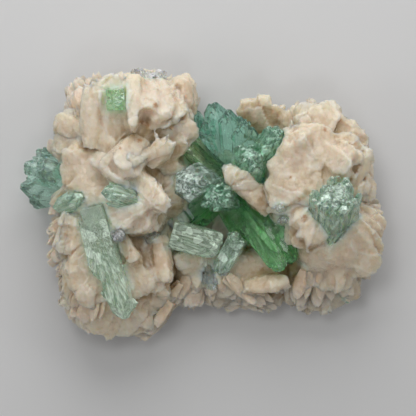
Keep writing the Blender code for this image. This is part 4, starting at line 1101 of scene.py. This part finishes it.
class Value:
    """A shader socket whose arithmetic adds Math nodes."""

    def __init__(self, recipe, socket):
        self.recipe = recipe
        self.socket = socket

    def math(self, operation, first, second=0.0):
        """A Math node on one or two values."""
        return self.recipe.node("ShaderNodeMath", {"operation": operation}, {0: first, 1: second})

    def __add__(self, other):
        return self.math("ADD", self, other)

    def __sub__(self, other):
        return self.math("SUBTRACT", self, other)

    def __rsub__(self, other):
        return self.math("SUBTRACT", other, self)

    def __mul__(self, other):
        return self.math("MULTIPLY", self, other)

    __radd__ = __add__
    __rmul__ = __mul__

    def other(self, output):
        """Another output of the same node."""
        return Value(self.recipe, self.socket.node.outputs[output])

    def sine(self):
        """Sine of the value in radians."""
        return self.math("SINE", self)

    def smooth(self, low, high):
        """0 below low, 1 above high and an even curve between."""
        settings = {"interpolation_type": "SMOOTHSTEP"}
        sockets = {"Value": self, "From Min": low, "From Max": high}
        return self.recipe.node("ShaderNodeMapRange", settings, sockets)


class Recipe:
    """A material, and the nodes that are added to it."""

    def __init__(self, name):
        self.material = bpy.data.materials.new(name)
        self.material.use_nodes = True
        self.tree = self.material.node_tree
        self.tree.nodes.clear()

    def add(self, kind, settings, sockets):
        """Add a node: its type, its settings, then the values or links of its sockets."""
        node = self.tree.nodes.new(kind)
        for setting, value in settings.items():
            setattr(node, setting, value)
        for key, value in sockets.items():
            socket = node.inputs[key]
            if isinstance(value, Value):
                self.tree.links.new(value.socket, socket)
            else:
                socket.default_value = value
        return node

    def node(self, kind, settings, sockets, output=0):
        """Add a node and give one of its outputs."""
        return Value(self, self.add(kind, settings, sockets).outputs[output])

    def vector(self, operation, first, second=(0.0, 0.0, 0.0), output="Vector"):
        """A Vector Math node."""
        sockets = {0: first, 1: second}
        return self.node("ShaderNodeVectorMath", {"operation": operation}, sockets, output)

    def value(self, name):
        """A number stored on the surface under a name."""
        return self.node("ShaderNodeAttribute", {"attribute_name": name}, {}, "Fac")

    def place(self):
        """Object coordinates, in metres."""
        return self.node("ShaderNodeTexCoord", {}, {}, "Object")

    def height(self):
        """Height above the cut back, in metres."""
        return self.node("ShaderNodeSeparateXYZ", {}, {0: self.place()}, "Z")

    def noise(self, scale, detail=3.0, roughness=0.55, vector=None):
        """Noise from 0 to 1 with scale cells in a metre."""
        sockets = {"Vector": vector or self.place(), "Scale": scale, "Detail": detail, "Roughness": roughness}
        return self.node("ShaderNodeTexNoise", {}, sockets, "Fac")

    def lines(self, start, count):
        """Noise in lines that all run away from a start, count of them to a radian, and the distance."""
        offset = self.vector("SUBTRACT", self.place(), start)
        lines = self.noise(count, 2.0, 0.6, self.vector("NORMALIZE", offset))
        return lines, self.vector("LENGTH", offset, output="Value")

    def cells(self, scale):
        """Middle of the chance cell round each place, with scale cells in a metre."""
        return self.node("ShaderNodeTexVoronoi", {}, {"Vector": self.place(), "Scale": scale}, "Position")

    def facets(self, scale):
        """Height of flat facets, scale of them in a metre: offset from a cell's middle . chance tilt."""
        middle = self.cells(scale)
        offset = self.vector("SUBTRACT", self.place(), middle)
        tilt = self.vector("SUBTRACT", middle.other("Color"), (0.5, 0.5, 0.5))
        return self.vector("DOT_PRODUCT", offset, tilt, "Value")

    def mix(self, share, first, second):
        """Colour that goes from first to second as share goes from 0 to 1."""
        return self.node("ShaderNodeMix", {"data_type": "RGBA"}, {0: share, 6: first, 7: second}, 2)

    def bump(self, height, distance, normal=None):
        """Relief from a height, on top of an earlier relief."""
        sockets = {"Height": height, "Distance": distance, "Strength": 1.0}
        if normal:
            sockets["Normal"] = normal
        return self.node("ShaderNodeBump", {}, sockets)

    def shader(self, sockets):
        """A Principled shader."""
        return self.node("ShaderNodeBsdfPrincipled", {}, sockets)

    def finish(self, shader, **volume):
        """End the material in a shader, and a volume where it has one."""
        self.add("ShaderNodeOutputMaterial", {}, {"Surface": shader, **volume})
        return self.material


def opaque(colour):
    """A colour with an alpha of 1."""
    return (*colour, 1.0)


def stilbite_colour(recipe, kind, along, clouds, patches, grain):
    """Cream to peach by blade, then painted shade low down, painted brown shade in hollows, pale at ends with
    painted highlights on ridges and high tops, painted green light beside crystals, and stained.
    """
    look = bpy.context.scene.cluster_stilbite
    ridge = recipe.value("ridge")
    stained = recipe.value("rust")
    height = recipe.height()
    ends = along.smooth(0.5, 1.0)
    blush = along.other("Blue") * 0.25 + clouds * 0.8 + patches * 0.35
    uneven = (clouds - 0.5) * 0.9 + (patches - 0.5) * 0.3
    # Painted shade: brown darkening in the hollows and creases between blades, less on ridges, at thin ends
    # and high up.
    deep = (recipe.value("hollow") + uneven - ridge * 0.2 - ends * 0.15).smooth(0.25, 0.95)
    deep = deep * (1.0 - height.smooth(*SHADE_HEIGHTS) * 0.5)
    # Pale at the thin ends, their own colour; on the mass also a painted highlight on the ridges of the
    # facets.
    pale = ends * 0.7 if kind == "edge" else ends * 0.2 + ridge.smooth(0.1, 1.0) * 0.35
    stain = stained * (stained + (patches - 0.5) * 2.0 + (grain - 0.5) * 2.0).smooth(0.3, 1.0)
    layers = (
        (blush.smooth(0.35, 1.0), look.peach),
        # Painted highlight: paler high up.
        (height.smooth(*TOP_HIGHLIGHT_HEIGHTS) * 0.35, look.edge),
        # Painted shade: greyer and darker low down.
        ((1.0 - height.smooth(*LOW_SHADE_HEIGHTS)) * look.clear, look.grey),
        # Painted shade in the hollows.
        (deep * 0.85, look.tan),
        (pale * (1.0 - deep), look.edge),
        # Painted light: green light from the crystals laid on the stilbite beside them.
        (recipe.value("painted_glow").smooth(0.1, 1.0) * look.painted_glow, look.green),
        (stain * 0.85, look.rust),
    )
    body = opaque(look.cream)
    for share, colour in layers:
        body = recipe.mix(share, body, opaque(colour))
    return body


def stilbite_relief(recipe, across, clouds, patches, grain):
    """Small facets, wavy lines along each blade, and grain."""
    look = bpy.context.scene.cluster_stilbite
    facets = sum(recipe.facets(scale) * tilt for scale, tilt in SMALL_FACETS)
    broad = (across * 24.0 + clouds * 9.0).sine() * patches
    fine = (across * 51.0 + patches * 5.0).sine() * 0.3
    relief = recipe.bump(facets, look.faceting)
    relief = recipe.bump(broad + fine, look.striation, relief)
    return recipe.bump(grain, look.grain, relief)


@functools.cache
def stilbite_finish(kind):
    """Cream to peach stilbite: painted brown shade in the hollows and painted shade low down, pale at the
    thin ends with painted highlights on ridges and high tops, painted green light beside the crystals, and
    brown stains.
    """
    look = bpy.context.scene.cluster_stilbite
    recipe = Recipe(f"stilbite_{kind}")
    blade = recipe.node("ShaderNodeAttribute", {"attribute_name": "blade"}, {}, "Color")
    along = recipe.node("ShaderNodeSeparateColor", {}, {"Color": blade}, "Red")
    clouds = recipe.noise(CLOUDS, 2.0)
    patches = recipe.noise(PATCHES, 3.0)
    grain = recipe.noise(GRAIN, 4.0)
    relief = stilbite_relief(recipe, along.other("Green") * 2.0 - 1.0, clouds, patches, grain)
    return recipe.finish(recipe.shader({
        "Base Color": stilbite_colour(recipe, kind, along, clouds, patches, grain),
        "Roughness": 0.08 + grain * 0.32,
        "Subsurface Weight": look.translucency,
        "Subsurface Radius": (1.0, 0.75, 0.5),
        "Subsurface Scale": look.scatter * (EDGE_SCATTER if kind == "edge" else 1.0),
        "Specular IOR Level": 0.5,
        "IOR": 1.5,
        "Normal": relief,
    }))


def apophyllite_finish(name, kind, crystals):
    """Apophyllite of one tint: clear with light lost inside it, veils, and lines along the prisms."""
    look = bpy.context.scene.cluster_apophyllite
    kept, strength, tint, veiled, tilt, _ = CRYSTAL_FINISHES[kind]
    root, tip = (np.mean([crystal[end] for crystal in crystals], axis=0) for end in (0, 1))
    start = (root - LINE_START * (tip - root) + CENTRING) * MM
    away = np.linalg.norm(tip - root) * MM * (1.0 + LINE_START)
    recipe = Recipe(name)
    lines, far = recipe.lines(start, away / look.spacing)
    etched = recipe.noise(ETCHING, 3.0).smooth(0.6, 0.8)
    chance = recipe.node("ShaderNodeSeparateColor", {}, {"Color": recipe.cells(look.sparkles).other("Color")})
    relief = recipe.bump(lines, look.striation)
    relief = recipe.bump(recipe.facets(look.sparkles), tilt, relief)
    roughness = etched * look.cloudiness
    shine = {"Base Color": opaque(tint), "IOR": look.index, "Normal": relief, "Roughness": roughness}
    glass = recipe.shader({**shine, "Transmission Weight": look.clearness})
    veil = recipe.shader(shine)
    veils = lines.smooth(0.28, 0.82) * VEIL_LINES + chance.smooth(0.84, 0.86) * VEIL_FACETS + VEIL_ALL
    veils = veils * (veiled + far.smooth(away * TIPS_START, away) * VEIL_TIPS)
    surface = recipe.node("ShaderNodeMixShader", {}, {0: veils, 1: glass, 2: veil})
    volume = recipe.node("ShaderNodeVolumeAbsorption", {}, {"Color": opaque(kept), "Density": strength})
    return recipe.finish(surface, Volume=volume)


class ClusterStilbite(bpy.types.PropertyGroup):
    """Colours and surface of the stilbite."""
    cream: FloatVectorProperty(name="Cream", description="Light parts of the blades", subtype="COLOR",
                               default=(0.84, 0.74, 0.57), min=0.0, max=1.0)
    peach: FloatVectorProperty(name="Peach", description="Warmer parts of the blades", subtype="COLOR",
                               default=(0.80, 0.64, 0.48), min=0.0, max=1.0)
    # Painted shade colour, laid into the crevices and hollows between the blades.
    tan: FloatVectorProperty(name="Tan", description="Crevices between the blades", subtype="COLOR",
                             default=(0.50, 0.36, 0.19), min=0.0, max=1.0)
    # Pale of the thin ends, their own colour, which is also laid on as the painted highlight on ridges and
    # high tops.
    edge: FloatVectorProperty(name="Edge", description="Thin ends of the blades", subtype="COLOR",
                              default=(0.86, 0.80, 0.70), min=0.0, max=1.0)
    # Painted shade: the colour laid on the lowest blades, and its share.
    grey: FloatVectorProperty(name="Grey", description="Clearer blades low down", subtype="COLOR",
                              default=(0.40, 0.37, 0.30), min=0.0, max=1.0)
    clear: FloatProperty(name="Clear", description="Share of grey in the lowest blades",
                         default=0.8, min=0.0, max=1.0, subtype="FACTOR")
    rust: FloatVectorProperty(name="Rust", description="Brown stains", subtype="COLOR",
                              default=(0.46, 0.20, 0.06), min=0.0, max=1.0)
    # Painted light: the green light that the crystals would let into the stilbite beside them, and its share.
    green: FloatVectorProperty(name="Green", description="Stilbite beside a green crystal", subtype="COLOR",
                               default=(0.84, 0.93, 0.78), min=0.0, max=1.0)
    painted_glow: FloatProperty(name="Glow", description="Share of green beside a crystal",
                        default=0.8, min=0.0, max=1.0, subtype="FACTOR")
    translucency: FloatProperty(name="Translucency", description="Share of light that scatters inside",
                                default=0.85, min=0.0, max=1.0, subtype="FACTOR")
    scatter: FloatProperty(name="Scatter", description="How far light goes inside the blades",
                           default=0.005, unit="LENGTH")
    striation: FloatProperty(name="Striation", description="Depth of the lines along a blade",
                             default=0.00001, unit="LENGTH")
    grain: FloatProperty(name="Grain", description="Depth of the fine unevenness",
                         default=0.00003, unit="LENGTH")
    faceting: FloatProperty(name="Faceting", description="Tilt of the small facets", default=0.95)


class ClusterApophyllite(bpy.types.PropertyGroup):
    """Glassiness of the apophyllite."""
    index: FloatProperty(name="Refractive index", description="How much the crystals bend light",
                         default=1.535)
    clearness: FloatProperty(name="Clearness", description="Share of light that passes through",
                             default=1.0, min=0.0, max=1.0, subtype="FACTOR")
    cloudiness: FloatProperty(name="Cloudiness", description="Roughness of the etched patches",
                              default=0.08, min=0.0, max=1.0, subtype="FACTOR")
    striation: FloatProperty(name="Striation", description="Depth of the lines along a prism",
                             default=0.00006, unit="LENGTH")
    sparkles: FloatProperty(name="Sparkles", description="Small facets in a metre", default=400.0)
    spacing: FloatProperty(name="Spacing", description="Distance between two lines at the tip of a prism",
                           default=0.0008, unit="LENGTH")


class ClusterStudio(bpy.types.PropertyGroup):
    """Floor, light and camera."""
    floor: FloatVectorProperty(name="Floor", description="Colour of the floor", subtype="COLOR",
                               default=(0.72, 0.72, 0.72), min=0.0, max=1.0)
    key: FloatProperty(name="Key light", description="Power of the large light behind the top edge",
                       default=1.45, unit="POWER")
    fill: FloatProperty(name="Fill light", description="Power of each light round the key light",
                        default=0.4, unit="POWER")
    surround: FloatProperty(name="Surround", description="Strength of the light from all round", default=0.24)
    distance: FloatProperty(name="Camera height", description="Height of the camera above the floor",
                            default=1.018, unit="LENGTH")
    focal: FloatProperty(name="Focal length", description="Focal length in millimetres", default=286.0)


class CLUSTER_OT_stilbite(bpy.types.Operator):
    """Add the lobes of stilbite blades"""
    bl_idname = "cluster.stilbite"
    bl_label = "Stilbite lobes"

    def execute(self, context):
        for number in range(len(LOBES)):
            add_stilbite(number)
        add_edge_blades()
        return {"FINISHED"}


class CLUSTER_OT_crystals(bpy.types.Operator):
    """Add the apophyllite crystals"""
    bl_idname = "cluster.crystals"
    bl_label = "Apophyllite crystals"

    def execute(self, context):
        for piece in CRYSTAL_PIECES:
            add_crystal_piece(*piece)
        return {"FINISHED"}


def add_floor(colour):
    """A plain matt floor, which is not part of the specimen."""
    corners = [(x * FLOOR_REACH, y * FLOOR_REACH, 0) for x, y in ((-1, -1), (1, -1), (1, 1), (-1, 1))]
    mesh = bpy.data.meshes.new("floor")
    mesh.from_pydata(corners, [], [(0, 1, 2, 3)])
    recipe = Recipe("floor")
    matt = recipe.shader({"Base Color": opaque(colour), "Roughness": 0.8 + recipe.noise(30.0) * 0.1})
    mesh.materials.append(recipe.finish(matt))
    linked_object("floor", mesh)


def add_light(power, name, place, size, share):
    """A square area light that points at the specimen."""
    lamp = bpy.data.lights.new(name, "AREA")
    lamp.shape = "SQUARE"
    lamp.size = size
    lamp.energy = power * share
    light = linked_object(name, lamp)
    light.location = place
    way = Vector(LIGHT_TARGET) - Vector(place)
    light.rotation_euler = way.to_track_quat("-Z", "Y").to_euler()


def add_surround(strength):
    """Even white light from all round."""
    world = bpy.data.worlds.new("studio")
    world.use_nodes = True
    background = world.node_tree.nodes["Background"]
    background.inputs["Color"].default_value = opaque((1.0, 1.0, 1.0))
    background.inputs["Strength"].default_value = strength
    bpy.context.scene.world = world


def add_camera(focal, height):
    """A camera that looks straight down on the display side."""
    lens = bpy.data.cameras.new("camera")
    lens.lens = focal
    lens.sensor_width = SENSOR_WIDTH
    lens.clip_end = FAR_CLIP
    camera = linked_object("camera", lens)
    camera.location = (*CAMERA_PLACE, height)
    bpy.context.scene.camera = camera


class CLUSTER_OT_stage(bpy.types.Operator):
    """Add the floor, the lights and the camera"""
    bl_idname = "cluster.stage"
    bl_label = "Stage"

    def execute(self, context):
        studio = context.scene.cluster_studio
        add_floor(studio.floor)
        add_light(studio.key, *KEY_LIGHT)
        for light in SIDE_LIGHTS:
            add_light(studio.fill, *light)
        add_surround(studio.surround)
        add_camera(studio.focal, studio.distance)
        context.scene.view_settings.view_transform = "Standard"
        return {"FINISHED"}


class CLUSTER_PT_panel(bpy.types.Panel):
    """Sizes and steps of the cluster"""
    bl_label = "Apophyllite cluster"
    bl_idname = "CLUSTER_PT_panel"
    bl_space_type = "VIEW_3D"
    bl_region_type = "UI"
    bl_category = "Cluster"

    def draw(self, context):
        for group in GROUPS:
            settings = getattr(context.scene, group)
            for name in settings.bl_rna.properties.keys():
                if name not in ("rna_type", "name"):
                    self.layout.prop(settings, name)
        for step in STEPS:
            self.layout.operator(step.bl_idname)


GROUPS = {
    "cluster_stilbite": ClusterStilbite,
    "cluster_apophyllite": ClusterApophyllite,
    "cluster_studio": ClusterStudio,
}
STEPS = (CLUSTER_OT_stilbite, CLUSTER_OT_crystals, CLUSTER_OT_stage)


def register():
    """Add the classes and the settings on the scene."""
    for name, group in GROUPS.items():
        bpy.utils.register_class(group)
        setattr(bpy.types.Scene, name, PointerProperty(type=group))
    for step in STEPS:
        bpy.utils.register_class(step)
    bpy.utils.register_class(CLUSTER_PT_panel)


def unregister():
    """Take away what register adds."""
    bpy.utils.unregister_class(CLUSTER_PT_panel)
    for step in reversed(STEPS):
        bpy.utils.unregister_class(step)
    for name, group in reversed(GROUPS.items()):
        delattr(bpy.types.Scene, name)
        bpy.utils.unregister_class(group)


def main():
    """Build every piece in order."""
    register()
    bpy.ops.cluster.stilbite()
    bpy.ops.cluster.crystals()
    bpy.ops.cluster.stage()


if __name__ == "__main__":
    main()
